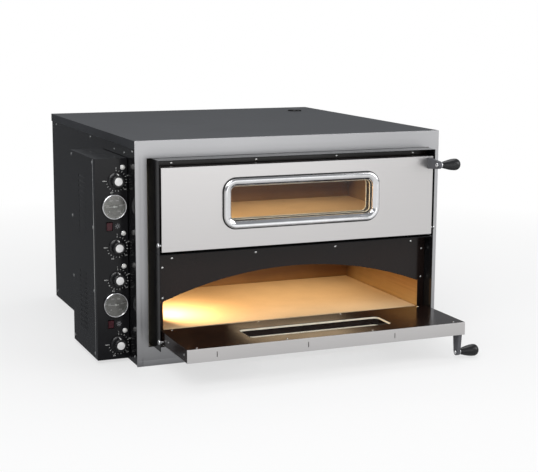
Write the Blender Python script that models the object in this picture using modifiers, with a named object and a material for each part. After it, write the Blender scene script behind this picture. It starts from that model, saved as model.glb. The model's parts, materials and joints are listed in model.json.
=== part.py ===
"""Countertop pizza oven with two baking decks, built as an assembly of separate pieces.

Units are metres, +Z is up and the doors face -Y.
The origin is the centre of the base pan's underside.
"""

from math import asin, cos, pi, radians, sin
from typing import NamedTuple

import bmesh
import bpy
from mathutils import Matrix, Vector

# ---------------------------------------------------------------- driving dimensions

BODY_WIDTH = 0.776
BODY_DEPTH = 0.800
SHEET = 0.0015              # casing sheet
GAP = 0.0003                # clearance between pieces that touch
BASE_RISE = 0.0005          # panels stay this far above the base pan's underside

OVERCUT = 0.010             # a cutter passes this far beyond what it cuts

FASCIA_SIDE_BAND = 0.028
FASCIA_TOP_BAND = 0.040
FASCIA_BASE_BAND = 0.046
FASCIA_FLANGE_DEPTH = 0.012
FASCIA_FLANGE_INSET = 0.004

LID_SKIRT = 0.020
VENT_CAP_RADIUS = 0.020
VENT_CAP_INSET = Vector((0.088, 0.122))     # from the right side and from the rear

CHEEK_GAP = 0.011           # between the fascia opening and a cheek
HOOD_PROJECTION = 0.052     # surround in front of the fascia
SURROUND_TAIL = 0.033       # surround behind the fascia
PLATE_PROJECTION = 0.015    # arched front plate in front of the fascia

MOUTH_SIDE_BAND = 0.0175    # front plate beside the mouth
MOUTH_SILL = 0.038          # heights above the deck's floor
MOUTH_SPRING = 0.106
MOUTH_CROWN = 0.168
CHAMBER_DEPTH = 0.396
CHAMBER_CEILING = 0.178
STONE_TOP = 0.042
STONE_THICK = 0.016
STONE_CLEARANCE = 0.002
ELEMENT_RADIUS = 0.0035
ELEMENT_ROOM = 0.0125       # below the stone
ELEMENT_RUNS = 8
ELEMENT_MARGIN = 0.030
ROOF_ELEMENT_DROP = 0.0077  # below the ceiling
ELEMENT_TAIL = 0.010        # terminal behind the chamber's rear wall
ELEMENT_HOLE_CLEARANCE = 0.0006
LEDGE_WIDTH = 0.010

JACKET_REAR = 0.042
JACKET_TERMINAL_ROOM = 0.014
JACKET_TOP = 0.036
JACKET_FIT = 0.001
PAN_UPSTAND = 0.0156

LAMP_SETBACK = 0.100        # behind the mouth plate
LAMP_HEIGHT = 0.108         # above the deck's floor
LAMP_RADIUS = 0.017
LAMP_FLANGE = 0.004
LAMP_DOME = 0.007

DOOR_HEIGHT = 0.190
DOOR_THICK = 0.030
DOOR_SKIN = 0.0012
DOOR_SIDE_GAP = 0.004
DOOR_FLOOR_GAP = 0.0055
DOOR_HEAD_ROOMS = (0.0265, 0.0162)  # between a door and its deck's top, lower deck first
DOOR_BOTTOM_RETURN = 0.010
PIVOT_HEIGHT = 0.0155       # above the door's lower edge
HINGE_ROD_RADIUS = 0.0030
PIVOT_COVER = 0.0022        # between the rod and the door's face
HINGE_HEAD_RADIUS = 0.0058
HINGE_HEAD_LENGTH = 0.004
RUNNING_CLEARANCE = 0.0004

WINDOW_HEIGHT_ABOVE_EDGE = 0.102
WINDOW_WIDTH = 0.358
WINDOW_TALL = 0.080
WINDOW_CORNER = 0.014
BEZEL_WIDTH = 0.0175
BEZEL_HEIGHT = 0.009
GLASS_THICK = 0.004
GLASS_LAP = 0.007

HANDLE_EDGE_DROP = 0.0165   # handle's axis below the door's upper edge
HANDLE_SIDE_INSET = 0.0055
HANDLE_REACH = 0.0445       # handle's axis in front of the door's face
ARM_THICK = 0.009
ARM_ROOT = 0.013            # half height at the door
ARM_TIP = 0.0075            # half height at the grip
GRIP_LENGTH = 0.052
GRIP_RADIUS = 0.0140

BOX_SETBACK = 0.060
BOX_DEPTH = 0.220
BOX_BOTTOM = 0.008
BOX_DROP = 0.044            # housing's top below the lid's
PANEL_RETURN = 0.018
LOUVRE_COUNT = 12
LOUVRE_PITCH = 0.012
LOUVRE_SIZE = Vector((0.060, 0.004))
REAR_SLOT_PITCH = 0.072
REAR_SLOT_EDGE = 0.060      # left plain at each end of a row
REAR_SLOT_ROWS = (0.22, 0.78)       # shares of the oven's height
WIRE_WAY_RADIUS = 0.022

CONTROL_SPREAD = 0.0062     # the controls are this much further apart than the decks
KNOB_COLUMN = 0.026         # distances from the oven's side
SWITCH_COLUMN = 0.0435
PILOT_COLUMN = 0.0105
PILOT_HEIGHTS = (0.0745, 0.2265)    # for the lower deck
KNOB_HEIGHTS = (0.0435, 0.1965)
GAUGE_HEIGHT = 0.1375
SWITCH_HEIGHT = 0.0920

KNOB_RADIUS = 0.0150
KNOB_LENGTH = 0.019
KNOB_STANDOFF = 0.0012
KNOB_SKIRT = 1.28           # skirt radius as a share of the knob's
KNOB_POINTER = Vector((0.0032, 0.0022))     # width, and reach beyond the grip
SPINDLE_RADIUS = 0.0030
SPINDLE_LENGTH = 0.014
THERMOSTAT_SIZE = Vector((0.034, 0.030, 0.040))
THERMOSTAT_STANDOFF = 0.004
PILOT_RADIUS = 0.0062
PILOT_LENGTH = 0.016
PILOT_PROUD = 0.004
GAUGE_RADIUS = 0.0292
GAUGE_SIDE_ROOM = 0.0033    # between a gauge and the oven's side
BOX_SIDE_ROOM = 0.0153      # between a gauge and the housing's outer side
GAUGE_BODY_RADIUS = 0.026
GAUGE_PROUD = 0.0085
GAUGE_BODY_DEPTH = 0.018
GAUGE_RIM = 0.003
NEEDLE_LENGTH = 0.019
NEEDLE_TAIL = 0.007
NEEDLE_HALF_WIDTH = 0.0009
NEEDLE_HUB_RADIUS = 0.0026
DIAL_DEPTH = 0.0055         # below the gauge's rim
SWITCH_SIZE = Vector((0.013, 0.012, 0.019))
SWITCH_CLEARANCE = 0.0010
SWITCH_TILT = radians(9)

TERMINAL_SIZE = Vector((0.030, 0.018, 0.060))
TERMINAL_RISE = 0.060       # above the cable gland
GLAND_RADIUS = 0.011
GLAND_BORE = 0.006
GLAND_HEIGHT = 0.040
GLAND_REACH = 0.016
GLAND_THREAD = 0.010        # inside the housing's wall

ROUND_STEPS = 24
SMALL_STEPS = 16
GAUGE_STEPS = 32
TUBE_RESOLUTION = 2
MERGE = 0.00001

# ---------------------------------------------------------------- places worked out from them

FRONT = -BODY_DEPTH / 2
REAR = BODY_DEPTH / 2
HALF_WIDTH = BODY_WIDTH / 2
GAUGE_COLUMN = GAUGE_RADIUS + GAUGE_SIDE_ROOM
BOX_WIDTH = GAUGE_COLUMN + GAUGE_RADIUS + BOX_SIDE_ROOM
SIDE_SKIN = HALF_WIDTH - SHEET - GAP        # outer face of a side panel, inside the lid's skirt
SIDE_INNER = SIDE_SKIN - SHEET - GAP
OPENING_HALF = HALF_WIDTH - FASCIA_SIDE_BAND
CHEEK_OUTER = OPENING_HALF - CHEEK_GAP
CHEEK_INNER = CHEEK_OUTER - SHEET
DOOR_HALF = CHEEK_INNER - DOOR_SIDE_GAP
DOOR_FACE = FRONT - HOOD_PROJECTION         # flush with the hood's front edge
PIVOT_DEPTH = HINGE_ROD_RADIUS + PIVOT_COVER
MOUTH_HALF_WIDTH = CHEEK_INNER - MOUTH_SIDE_BAND
PLATE_FACE = FRONT - PLATE_PROJECTION
CHAMBER_FRONT = PLATE_FACE + SHEET + GAP
CHAMBER_REAR = CHAMBER_FRONT + CHAMBER_DEPTH
CHAMBER_HALF = MOUTH_HALF_WIDTH + SHEET     # outside of the liner's side wall
PANEL_FACE = FRONT + BOX_SETBACK
HOUSING_FRONT = PANEL_FACE + PANEL_RETURN + GAP
BOX_REAR = PANEL_FACE + BOX_DEPTH
BOX_OUTER = -HALF_WIDTH - BOX_WIDTH
BOX_INNER = -HALF_WIDTH - GAP               # the lid's skirt stands out beside it


class Deck(NamedTuple):
    """One baking deck: its name, the height of its floor and of its hood's upper face."""

    name: str
    floor: float
    top: float


LOWER_FLOOR = FASCIA_BASE_BAND
LOWER_TOP = LOWER_FLOOR + DOOR_FLOOR_GAP + DOOR_HEIGHT + DOOR_HEAD_ROOMS[0]
UPPER_FLOOR = LOWER_TOP + GAP
UPPER_TOP = UPPER_FLOOR + DOOR_FLOOR_GAP + DOOR_HEIGHT + DOOR_HEAD_ROOMS[1]
DECKS = (Deck("lower", LOWER_FLOOR, LOWER_TOP), Deck("upper", UPPER_FLOOR, UPPER_TOP))
BODY_HEIGHT = UPPER_TOP + FASCIA_TOP_BAND
BOX_TOP = BODY_HEIGHT - BOX_DROP
CONTROL_PITCH = UPPER_FLOOR - LOWER_FLOOR + CONTROL_SPREAD

# ---------------------------------------------------------------- scene and materials

for old in list(bpy.data.objects):
    bpy.data.objects.remove(old)

PARTS = bpy.data.collections.new("pizza_oven")
CUTTERS = bpy.data.collections.new("cutters")
bpy.context.scene.collection.children.link(PARTS)
bpy.context.scene.collection.children.link(CUTTERS)


def make_material(name, colour, roughness, metallic, alpha=1.0):
    """A Principled material with one colour."""
    material = bpy.data.materials.new(name)
    material.use_nodes = True
    shader = material.node_tree.nodes["Principled BSDF"]
    shader.inputs["Base Color"].default_value = (*colour, 1.0)
    shader.inputs["Roughness"].default_value = roughness
    shader.inputs["Metallic"].default_value = metallic
    shader.inputs["Alpha"].default_value = alpha
    return material


STAINLESS = make_material("stainless", (0.60, 0.60, 0.60), 0.30, 1.0)
GREY_PAINT = make_material("grey_paint", (0.075, 0.078, 0.085), 0.45, 0.0)
BLACK_PAINT = make_material("black_paint", (0.012, 0.012, 0.013), 0.25, 0.0)
BLACK_ENAMEL = make_material("black_enamel", (0.020, 0.014, 0.011), 0.20, 0.0)
LINER_STEEL = make_material("liner_steel", (0.45, 0.34, 0.22), 0.40, 1.0)
FIRE_STONE = make_material("fire_stone", (0.62, 0.46, 0.28), 0.85, 0.0)
ELEMENT_STEEL = make_material("element_steel", (0.10, 0.09, 0.08), 0.50, 1.0)
MINERAL_WOOL = make_material("mineral_wool", (0.55, 0.50, 0.40), 0.95, 0.0)
CHROME = make_material("chrome", (0.75, 0.75, 0.76), 0.10, 1.0)
BLACK_PLASTIC = make_material("black_plastic", (0.010, 0.010, 0.011), 0.30, 0.0)
WHITE_LENS = make_material("white_lens", (0.85, 0.84, 0.80), 0.25, 0.0)
RED_LENS = make_material("red_lens", (0.60, 0.03, 0.03), 0.30, 0.0)
CLEAR_GLASS = make_material("clear_glass", (0.85, 0.90, 0.88), 0.05, 0.0, 0.35)
GREY_PLASTIC = make_material("grey_plastic", (0.30, 0.30, 0.31), 0.55, 0.0)

# ---------------------------------------------------------------- modelling helpers


def add_object(name, data, material, parent=None, collection=PARTS):
    """Link a new object, with its material and its parent empty."""
    made = bpy.data.objects.new(name, data)
    collection.objects.link(made)
    if material:
        data.materials.append(material)
    made.parent = parent
    return made


def mesh_from(bm, name):
    """Turn a bmesh into mesh data and free it."""
    mesh = bpy.data.meshes.new(name)
    bm.to_mesh(mesh)
    bm.free()
    return mesh


def add_cube(bm, low, high):
    """A box between two corners, inside an open bmesh."""
    low, high = Vector(low), Vector(high)
    size = high - low
    place = Matrix.Translation((low + high) / 2) @ Matrix.Diagonal((*size, 1.0))
    return bmesh.ops.create_cube(bm, size=1.0, matrix=place)


def boxes(name, corners, material=None, parent=None, collection=PARTS):
    """One object made of boxes, each given by its two corners."""
    bm = bmesh.new()
    for low, high in corners:
        add_cube(bm, low, high)
    return add_object(name, mesh_from(bm, name), material, parent, collection)


def box(name, low, high, material, parent=None):
    """A box whose object sits at the box's own centre."""
    low, high = Vector(low), Vector(high)
    middle = (low + high) / 2
    made = boxes(name, [(low - middle, high - middle)], material, parent)
    made.location = middle
    return made


def as_tool(tool, parent=None):
    """Hide a cutter or a guide from the build."""
    tool.parent = parent
    tool.hide_render = True
    tool.display_type = "WIRE"
    return tool


def box_tool(name, corners, parent=None):
    """Boxes used to cut or to join."""
    return as_tool(boxes(name, corners, collection=CUTTERS), parent)


def rounded_tool(name, centre, size, corner, parent=None):
    """A block along Y with its four long edges rounded, used as a cutter."""
    centre, size = Vector(centre), Vector(size)
    bm = bmesh.new()
    add_cube(bm, centre - size / 2, centre + size / 2)
    long_edges = []
    for edge in bm.edges:
        ends = edge.verts[1].co - edge.verts[0].co
        if abs(ends.y) > abs(ends.x) + abs(ends.z):
            long_edges.append(edge)
    bmesh.ops.bevel(bm, geom=long_edges, offset=corner, segments=4, profile=0.5, affect="EDGES")
    return as_tool(add_object(name, mesh_from(bm, name), None, None, CUTTERS), parent)


def rod_tool(name, places, radius, axis, parent=None, steps=ROUND_STEPS):
    """Cylinders along one axis, used to drill; each place is a centre and a length."""
    turn = {"X": Matrix.Rotation(pi / 2, 4, "Y"), "Y": Matrix.Rotation(pi / 2, 4, "X"),
            "Z": Matrix.Identity(4)}[axis]
    bm = bmesh.new()
    for centre, length in places:
        bmesh.ops.create_cone(
            bm, cap_ends=True, segments=steps, radius1=radius, radius2=radius, depth=length,
            matrix=Matrix.Translation(centre) @ turn)
    return as_tool(add_object(name, mesh_from(bm, name), None, None, CUTTERS), parent)


def boolean(made, tool, operation="DIFFERENCE"):
    """Cut a piece with a tool, or join the tool to it."""
    modifier = made.modifiers.new(tool.name, "BOOLEAN")
    modifier.object = tool
    modifier.operation = operation
    modifier.solver = "EXACT"
    return made


def turned(name, profile, steps, material, parent=None, collection=PARTS):
    """A solid of revolution about local Z; the profile runs down its outer side."""
    mesh = bpy.data.meshes.new(name)
    points = [(radius, 0.0, height) for radius, height in profile]
    mesh.from_pydata(points, [(i, i + 1) for i in range(len(points) - 1)], [])
    made = add_object(name, mesh, material, parent, collection)
    screw = made.modifiers.new("turn", "SCREW")
    screw.steps = steps
    screw.render_steps = steps
    screw.use_merge_vertices = True
    screw.merge_threshold = MERGE
    screw.use_smooth_shade = True
    return made


def outline_plate(name, outlines, thick, material):
    """A flat plate in the XZ plane from closed outlines; the inner ones are holes."""
    curve = bpy.data.curves.new(name, "CURVE")
    curve.dimensions = "2D"
    curve.fill_mode = "BOTH"
    curve.extrude = thick / 2
    for outline in outlines:
        spline = curve.splines.new("POLY")
        spline.points.add(len(outline) - 1)
        for point, (x, z) in zip(spline.points, outline):
            point.co = (x, z, 0.0, 1.0)
        spline.use_cyclic_u = True
    made = add_object(name, curve, material)
    made.rotation_euler = (pi / 2, 0.0, 0.0)
    return made


def facing_front(made, x, y, z):
    """Turn a piece's local +Z towards the front, -Y, and put it in its place."""
    made.rotation_euler = (pi / 2, 0.0, 0.0)
    made.location = (x, y, z)
    return made


# ---------------------------------------------------------------- casing


def make_fascia():
    """Stainless front frame: one sheet with an opening and a flange behind its edge."""
    top = BODY_HEIGHT
    fascia = boxes("fascia", [((-HALF_WIDTH, FRONT, BASE_RISE), (HALF_WIDTH, FRONT + SHEET, top))],
                   STAINLESS)
    ring = HALF_WIDTH - FASCIA_FLANGE_INSET
    low = BASE_RISE + FASCIA_FLANGE_INSET
    high = top - FASCIA_FLANGE_INSET
    flange = box_tool("fascia_flange", [
        ((-ring, FRONT + SHEET / 2, low), (ring, FRONT + SHEET + FASCIA_FLANGE_DEPTH, high))])
    hollow = box_tool("fascia_hollow", [
        ((-ring + SHEET, FRONT + SHEET, low + SHEET),
         (ring - SHEET, FRONT + SHEET + 2 * FASCIA_FLANGE_DEPTH, high - SHEET))])
    opening = box_tool("fascia_opening", [
        ((-OPENING_HALF, FRONT - SHEET, FASCIA_BASE_BAND),
         (OPENING_HALF, FRONT + 3 * SHEET, UPPER_TOP))])
    boolean(fascia, flange, "UNION")
    boolean(fascia, hollow)
    return boolean(fascia, opening)


def make_top_cover():
    """Dark grey lid with a skirt on both sides and at the rear."""
    front = FRONT + SHEET + GAP
    cover = boxes("top_cover", [
        ((-HALF_WIDTH, front, BODY_HEIGHT - LID_SKIRT), (HALF_WIDTH, REAR, BODY_HEIGHT))],
        GREY_PAINT)
    hollow = box_tool("lid_hollow", [
        ((-HALF_WIDTH + SHEET, front - SHEET, BODY_HEIGHT - 2 * LID_SKIRT),
         (HALF_WIDTH - SHEET, REAR - SHEET, BODY_HEIGHT - SHEET))])
    boolean(cover, hollow)
    drill = rod_tool("vent_hole", [((*vent_place(), BODY_HEIGHT), 4 * SHEET)],
                     VENT_CAP_RADIUS / 2 + RUNNING_CLEARANCE, "Z")
    return boolean(cover, drill)


def vent_place():
    """Centre of the vent cap on the lid."""
    return HALF_WIDTH - VENT_CAP_INSET.x, REAR - VENT_CAP_INSET.y


def make_vent_cap():
    """Low round cap whose stem sits in the lid's vent hole."""
    stem = VENT_CAP_RADIUS / 2
    cap = turned("vent_cap", [
        (0.0, 0.0050), (VENT_CAP_RADIUS * 0.7, 0.0048), (VENT_CAP_RADIUS, 0.0030),
        (VENT_CAP_RADIUS, GAP), (stem, GAP), (stem, -3 * SHEET), (0.0, -3 * SHEET)],
        ROUND_STEPS, BLACK_PAINT)
    cap.location = (*vent_place(), BODY_HEIGHT)
    return cap


def make_side_panel(side):
    """Black side sheet under the lid's skirt; the left one has the wire way."""
    name = "side_panel_right" if side > 0 else "side_panel_left"
    inner, outer = SIDE_SKIN - SHEET, SIDE_SKIN
    low_x, high_x = (inner, outer) if side > 0 else (-outer, -inner)
    panel = box(name, (low_x, FRONT + SHEET + GAP, SHEET + GAP),
                (high_x, REAR - SHEET - GAP, BODY_HEIGHT - SHEET - GAP), BLACK_PAINT)
    if side < 0:
        drill = rod_tool("wire_way", [((-SIDE_SKIN, *wire_way_place()), 4 * SHEET)],
                         WIRE_WAY_RADIUS, "X")
        boolean(panel, drill)
    return panel


def wire_way_place():
    """Where the wires pass from the control housing into the casing."""
    return BOX_REAR - 2 * WIRE_WAY_RADIUS, (BOX_BOTTOM + BOX_TOP) / 2


def make_rear_panel():
    """Black rear sheet with two rows of cooling slots."""
    panel = box("rear_panel", (-SIDE_INNER, REAR - 2 * SHEET - GAP, SHEET + GAP),
                (SIDE_INNER, REAR - SHEET - GAP, BODY_HEIGHT - SHEET - GAP), BLACK_PAINT)
    slots = []
    side_count = int((SIDE_INNER - REAR_SLOT_EDGE) / REAR_SLOT_PITCH)
    for share in REAR_SLOT_ROWS:
        low = BODY_HEIGHT * share
        for column in range(-side_count, side_count + 1):
            x = column * REAR_SLOT_PITCH
            slots.append(((x - LOUVRE_SIZE.x / 2, REAR - OVERCUT, low),
                          (x + LOUVRE_SIZE.x / 2, REAR, low + LOUVRE_SIZE.y)))
    return boolean(panel, box_tool("rear_slots", slots))


def make_base_pan():
    """Base sheet with a low upstand, which the oven rests on."""
    front = FRONT + SHEET + FASCIA_FLANGE_DEPTH + GAP
    rear = REAR - 2 * SHEET - 2 * GAP
    pan = boxes("base_pan", [((-SIDE_INNER, front, 0.0), (SIDE_INNER, rear, PAN_UPSTAND))],
                BLACK_PAINT)
    hollow = box_tool("pan_hollow", [
        ((-SIDE_INNER + SHEET, front + SHEET, SHEET), (SIDE_INNER - SHEET, rear - SHEET, 2 * PAN_UPSTAND))])
    return boolean(pan, hollow)


def make_insulation_jacket():
    """Mineral wool block round both chambers, open to the front."""
    front = FRONT + SURROUND_TAIL + JACKET_FIT
    rear = CHAMBER_REAR + JACKET_TERMINAL_ROOM + JACKET_REAR
    low = PAN_UPSTAND + JACKET_FIT
    high = liner_top(DECKS[1]) + JACKET_TOP
    side = SIDE_INNER - JACKET_FIT
    jacket = boxes("insulation_jacket", [((-side, front, low), (side, rear, high))], MINERAL_WOOL)
    hollows = []
    drills = []
    for deck in DECKS:
        hollows.append(((-CHAMBER_HALF - JACKET_FIT, front - OVERCUT, liner_bottom(deck) - JACKET_FIT),
                        (CHAMBER_HALF + JACKET_FIT, CHAMBER_REAR + JACKET_TERMINAL_ROOM,
                         liner_top(deck) + JACKET_FIT)))
        drills.append(((-(side + CHAMBER_HALF) / 2, *lamp_place(deck)), side - CHAMBER_HALF + 2 * OVERCUT))
    boolean(jacket, box_tool("jacket_hollows", hollows))
    return boolean(jacket, rod_tool("jacket_lamp_ways", drills, LAMP_RADIUS + JACKET_FIT, "X"))

# ---------------------------------------------------------------- decks


def pivot_place(deck):
    """Y and Z of a door's hinge axis."""
    return DOOR_FACE + PIVOT_DEPTH, deck.floor + DOOR_FLOOR_GAP + PIVOT_HEIGHT


def liner_bottom(deck):
    """Underside of a chamber liner."""
    return deck.floor + STONE_TOP - STONE_THICK - ELEMENT_ROOM - SHEET


def liner_top(deck):
    """Upper face of a chamber liner."""
    return deck.floor + CHAMBER_CEILING + SHEET


def lamp_place(deck):
    """Y and Z of a chamber lamp's axis."""
    return PLATE_FACE + LAMP_SETBACK, deck.floor + LAMP_HEIGHT


def make_surround(deck):
    """Folded hood with two cheeks, which the door closes between."""
    rear = FRONT + SURROUND_TAIL
    surround = boxes(deck.name + "_surround", [
        ((-CHEEK_OUTER, FRONT - HOOD_PROJECTION, deck.floor), (CHEEK_OUTER, rear, deck.top))],
        BLACK_PAINT)
    hollow = box_tool(deck.name + "_surround_hollow", [
        ((-CHEEK_INNER, FRONT - 2 * HOOD_PROJECTION, deck.floor - OVERCUT),
         (CHEEK_INNER, rear + OVERCUT, deck.top - SHEET))])
    boolean(surround, hollow)
    drill = rod_tool(deck.name + "_cheek_holes", [((0.0, *pivot_place(deck)), BODY_WIDTH)],
                     HINGE_ROD_RADIUS + RUNNING_CLEARANCE, "X", steps=SMALL_STEPS)
    return boolean(surround, drill)


def arch_points(deck, count=16):
    """Mouth outline: a sill, two upright sides and a circular arch."""
    rise = MOUTH_CROWN - MOUTH_SPRING
    radius = (MOUTH_HALF_WIDTH ** 2 + rise ** 2) / (2 * rise)
    sweep = asin(MOUTH_HALF_WIDTH / radius)
    centre = deck.floor + MOUTH_CROWN - radius
    points = [(-MOUTH_HALF_WIDTH, deck.floor + MOUTH_SILL), (MOUTH_HALF_WIDTH, deck.floor + MOUTH_SILL)]
    for step in range(count + 1):
        angle = sweep * (1 - 2 * step / count)
        points.append((radius * sin(angle), centre + radius * cos(angle)))
    return points


def make_front_plate(deck):
    """Black plate in front of the chamber, with an arched mouth."""
    half = CHEEK_INNER - GAP
    low = deck.floor
    high = deck.top - SHEET - GAP
    frame = [(-half, low), (half, low), (half, high), (-half, high)]
    plate = outline_plate(deck.name + "_front_plate", [frame, arch_points(deck)], SHEET,
                          BLACK_ENAMEL)
    plate.location = (0.0, PLATE_FACE + SHEET / 2, 0.0)
    return plate


def make_liner(deck):
    """Chamber liner: a box open to the front, with two ledges for the stone."""
    low, high = liner_bottom(deck), liner_top(deck)
    ledge_top = deck.floor + STONE_TOP - STONE_THICK - GAP
    liner = boxes(deck.name + "_chamber_liner", [
        ((-CHAMBER_HALF, CHAMBER_FRONT, low), (CHAMBER_HALF, CHAMBER_REAR, high))], LINER_STEEL)
    front, rear = CHAMBER_FRONT - OVERCUT, CHAMBER_REAR - SHEET
    between = MOUTH_HALF_WIDTH - LEDGE_WIDTH
    boolean(liner, box_tool(deck.name + "_liner_room", [
        ((-MOUTH_HALF_WIDTH, front, ledge_top), (MOUTH_HALF_WIDTH, rear, high - SHEET))]))
    boolean(liner, box_tool(deck.name + "_liner_well", [
        ((-between, front, low + SHEET), (between, rear, (low + high) / 2))]))
    holes = []
    for height in (bottom_element_height(deck), top_element_height(deck)):
        for side in (-1, 1):
            holes.append(((side * element_half_width(), CHAMBER_REAR, height), 6 * SHEET))
    boolean(liner, rod_tool(deck.name + "_element_holes", holes,
                            ELEMENT_RADIUS + ELEMENT_HOLE_CLEARANCE, "Y", steps=SMALL_STEPS))
    lamp = rod_tool(deck.name + "_lamp_hole", [((-CHAMBER_HALF, *lamp_place(deck)), 6 * SHEET)],
                    LAMP_RADIUS + JACKET_FIT / 2, "X")
    return boolean(liner, lamp)


def make_stone(deck):
    """Refractory hearth stone on the liner's ledges."""
    side = MOUTH_HALF_WIDTH - STONE_CLEARANCE
    top = deck.floor + STONE_TOP
    return box(deck.name + "_hearth_stone", (-side, CHAMBER_FRONT + STONE_CLEARANCE, top - STONE_THICK),
               (side, CHAMBER_REAR - SHEET - STONE_CLEARANCE, top), FIRE_STONE)


def element_half_width():
    """Distance of an element's outer runs from the middle."""
    return MOUTH_HALF_WIDTH - ELEMENT_MARGIN


def bottom_element_height(deck):
    """Axis of the element under the stone."""
    return deck.floor + STONE_TOP - STONE_THICK - ELEMENT_ROOM / 2


def top_element_height(deck):
    """Axis of the element under the ceiling."""
    return deck.floor + CHAMBER_CEILING - ROOF_ELEMENT_DROP


def make_element(deck, place, height):
    """Tubular heating element bent to and fro, with two terminals through the rear wall."""
    spacing = 2 * element_half_width() / (ELEMENT_RUNS - 1)
    bend = spacing / 2
    tail = CHAMBER_REAR + ELEMENT_TAIL
    back = CHAMBER_REAR - ELEMENT_MARGIN - bend
    front = CHAMBER_FRONT + ELEMENT_MARGIN + bend
    points = [(-element_half_width(), tail)]
    for run in range(ELEMENT_RUNS - 1):
        centre = -element_half_width() + (run + 0.5) * spacing
        forward = run % 2 == 0
        turn_y = front if forward else back
        for step in range(7):
            angle = pi * step / 6
            swing = -sin(angle) if forward else sin(angle)
            points.append((centre - bend * cos(angle), turn_y + bend * swing))
    points.append((element_half_width(), tail))
    curve = bpy.data.curves.new(deck.name + place, "CURVE")
    curve.dimensions = "3D"
    curve.bevel_depth = ELEMENT_RADIUS
    curve.bevel_resolution = TUBE_RESOLUTION
    curve.use_fill_caps = True
    spline = curve.splines.new("POLY")
    spline.points.add(len(points) - 1)
    for point, (x, y) in zip(spline.points, points):
        point.co = (x, y, 0.0, 1.0)
    element = add_object(f"{deck.name}_{place}_element", curve, ELEMENT_STEEL)
    element.location = (0.0, 0.0, height)
    return element


def make_chamber_lamp(deck):
    """Lamp in the chamber's left wall: a domed lens and its barrel through the insulation."""
    barrel = SIDE_INNER - CHAMBER_HALF - 2 * JACKET_FIT
    bore = LAMP_RADIUS * 0.82
    lip = LAMP_RADIUS + LAMP_FLANGE
    lamp = turned(deck.name + "_chamber_lamp", [
        (0.0, LAMP_DOME + 0.002), (bore * 0.6, LAMP_DOME), (bore, 0.0032), (lip, 0.0026), (lip, GAP),
        (LAMP_RADIUS, GAP), (LAMP_RADIUS, -barrel), (0.0, -barrel)], ROUND_STEPS, CLEAR_GLASS)
    lamp.rotation_euler = (0.0, pi / 2, 0.0)
    lamp.location = (-MOUTH_HALF_WIDTH, *lamp_place(deck))
    return lamp


def make_hinge_rod(deck):
    """Rod through both cheeks and the door's foot, with a round head at each end."""
    reach = CHEEK_OUTER + GAP
    end = reach + HINGE_HEAD_LENGTH
    rod = turned(deck.name + "_hinge_rod", [
        (0.0, end), (HINGE_HEAD_RADIUS, end), (HINGE_HEAD_RADIUS, reach), (HINGE_ROD_RADIUS, reach),
        (HINGE_ROD_RADIUS, -reach), (HINGE_HEAD_RADIUS, -reach), (HINGE_HEAD_RADIUS, -end),
        (0.0, -end)], SMALL_STEPS, CHROME)
    rod.rotation_euler = (0.0, pi / 2, 0.0)
    rod.location = (0.0, *pivot_place(deck))
    return rod

# ---------------------------------------------------------------- doors, built closed about their pivot


def door_axis(deck, opened):
    """Empty on a door's hinge axis; the angle lays the door open."""
    axis = bpy.data.objects.new(deck.name + "_door_axis", None)
    PARTS.objects.link(axis)
    axis.location = (0.0, *pivot_place(deck))
    axis.rotation_euler = (opened, 0.0, 0.0)
    return axis


def make_door_outer(name, axis):
    """Stainless outer panel: a face with a deep upper fold and a shallow lower one."""
    face, foot = -PIVOT_DEPTH, -PIVOT_HEIGHT
    top = foot + DOOR_HEIGHT
    panel = boxes(name + "_outer_panel", [((-DOOR_HALF, face, foot), (DOOR_HALF, face + DOOR_THICK, top))],
                  STAINLESS, axis)
    inside = box_tool(name + "_outer_hollow", [
        ((-2 * DOOR_HALF, face + DOOR_SKIN, foot + DOOR_SKIN),
         (2 * DOOR_HALF, face + 2 * DOOR_THICK, top - DOOR_SKIN))],
        axis)
    below = box_tool(name + "_foot_cut", [
        ((-2 * DOOR_HALF, face + DOOR_BOTTOM_RETURN, foot - OVERCUT),
         (2 * DOOR_HALF, face + 2 * DOOR_THICK, foot + 2 * DOOR_SKIN))], axis)
    boolean(panel, inside)
    boolean(panel, below)
    window = rounded_tool(name + "_outer_window", (0.0, face, window_height()),
                          (WINDOW_WIDTH, 2 * OVERCUT, WINDOW_TALL), WINDOW_CORNER, axis)
    return boolean(panel, window)


def window_height():
    """Middle of the window above the pivot."""
    return WINDOW_HEIGHT_ABOVE_EDGE - PIVOT_HEIGHT


def make_door_inner(name, axis):
    """Black inner panel: a tray whose open side faces the outer panel."""
    face = -PIVOT_DEPTH + DOOR_SKIN + GAP
    back = -PIVOT_DEPTH + DOOR_THICK
    foot = -PIVOT_HEIGHT + DOOR_SKIN + GAP
    top = -PIVOT_HEIGHT + DOOR_HEIGHT - DOOR_SKIN - GAP
    panel = boxes(name + "_inner_panel", [((-DOOR_HALF, face, foot), (DOOR_HALF, back, top))],
                  BLACK_ENAMEL, axis)
    hollow = box_tool(name + "_inner_hollow", [
        ((-DOOR_HALF + SHEET, face - OVERCUT, foot + SHEET), (DOOR_HALF - SHEET, back - SHEET, top - SHEET))],
        axis)
    boolean(panel, hollow)
    window = rounded_tool(name + "_inner_window", (0.0, back, window_height()),
                          (WINDOW_WIDTH, 2 * OVERCUT, WINDOW_TALL), WINDOW_CORNER, axis)
    boolean(panel, window)
    drill = rod_tool(name + "_rod_ways", [((0.0, 0.0, 0.0), BODY_WIDTH)],
                     HINGE_ROD_RADIUS + RUNNING_CLEARANCE, "X", axis, SMALL_STEPS)
    return boolean(panel, drill)


def make_door_glass(name, axis):
    """Window pane behind the outer panel."""
    face = -PIVOT_DEPTH + DOOR_SKIN + GAP
    half_x = WINDOW_WIDTH / 2 + GLASS_LAP
    half_z = WINDOW_TALL / 2 + GLASS_LAP
    return box(name + "_window_glass", (-half_x, face, window_height() - half_z),
               (half_x, face + GLASS_THICK, window_height() + half_z), CLEAR_GLASS, axis)


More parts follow.
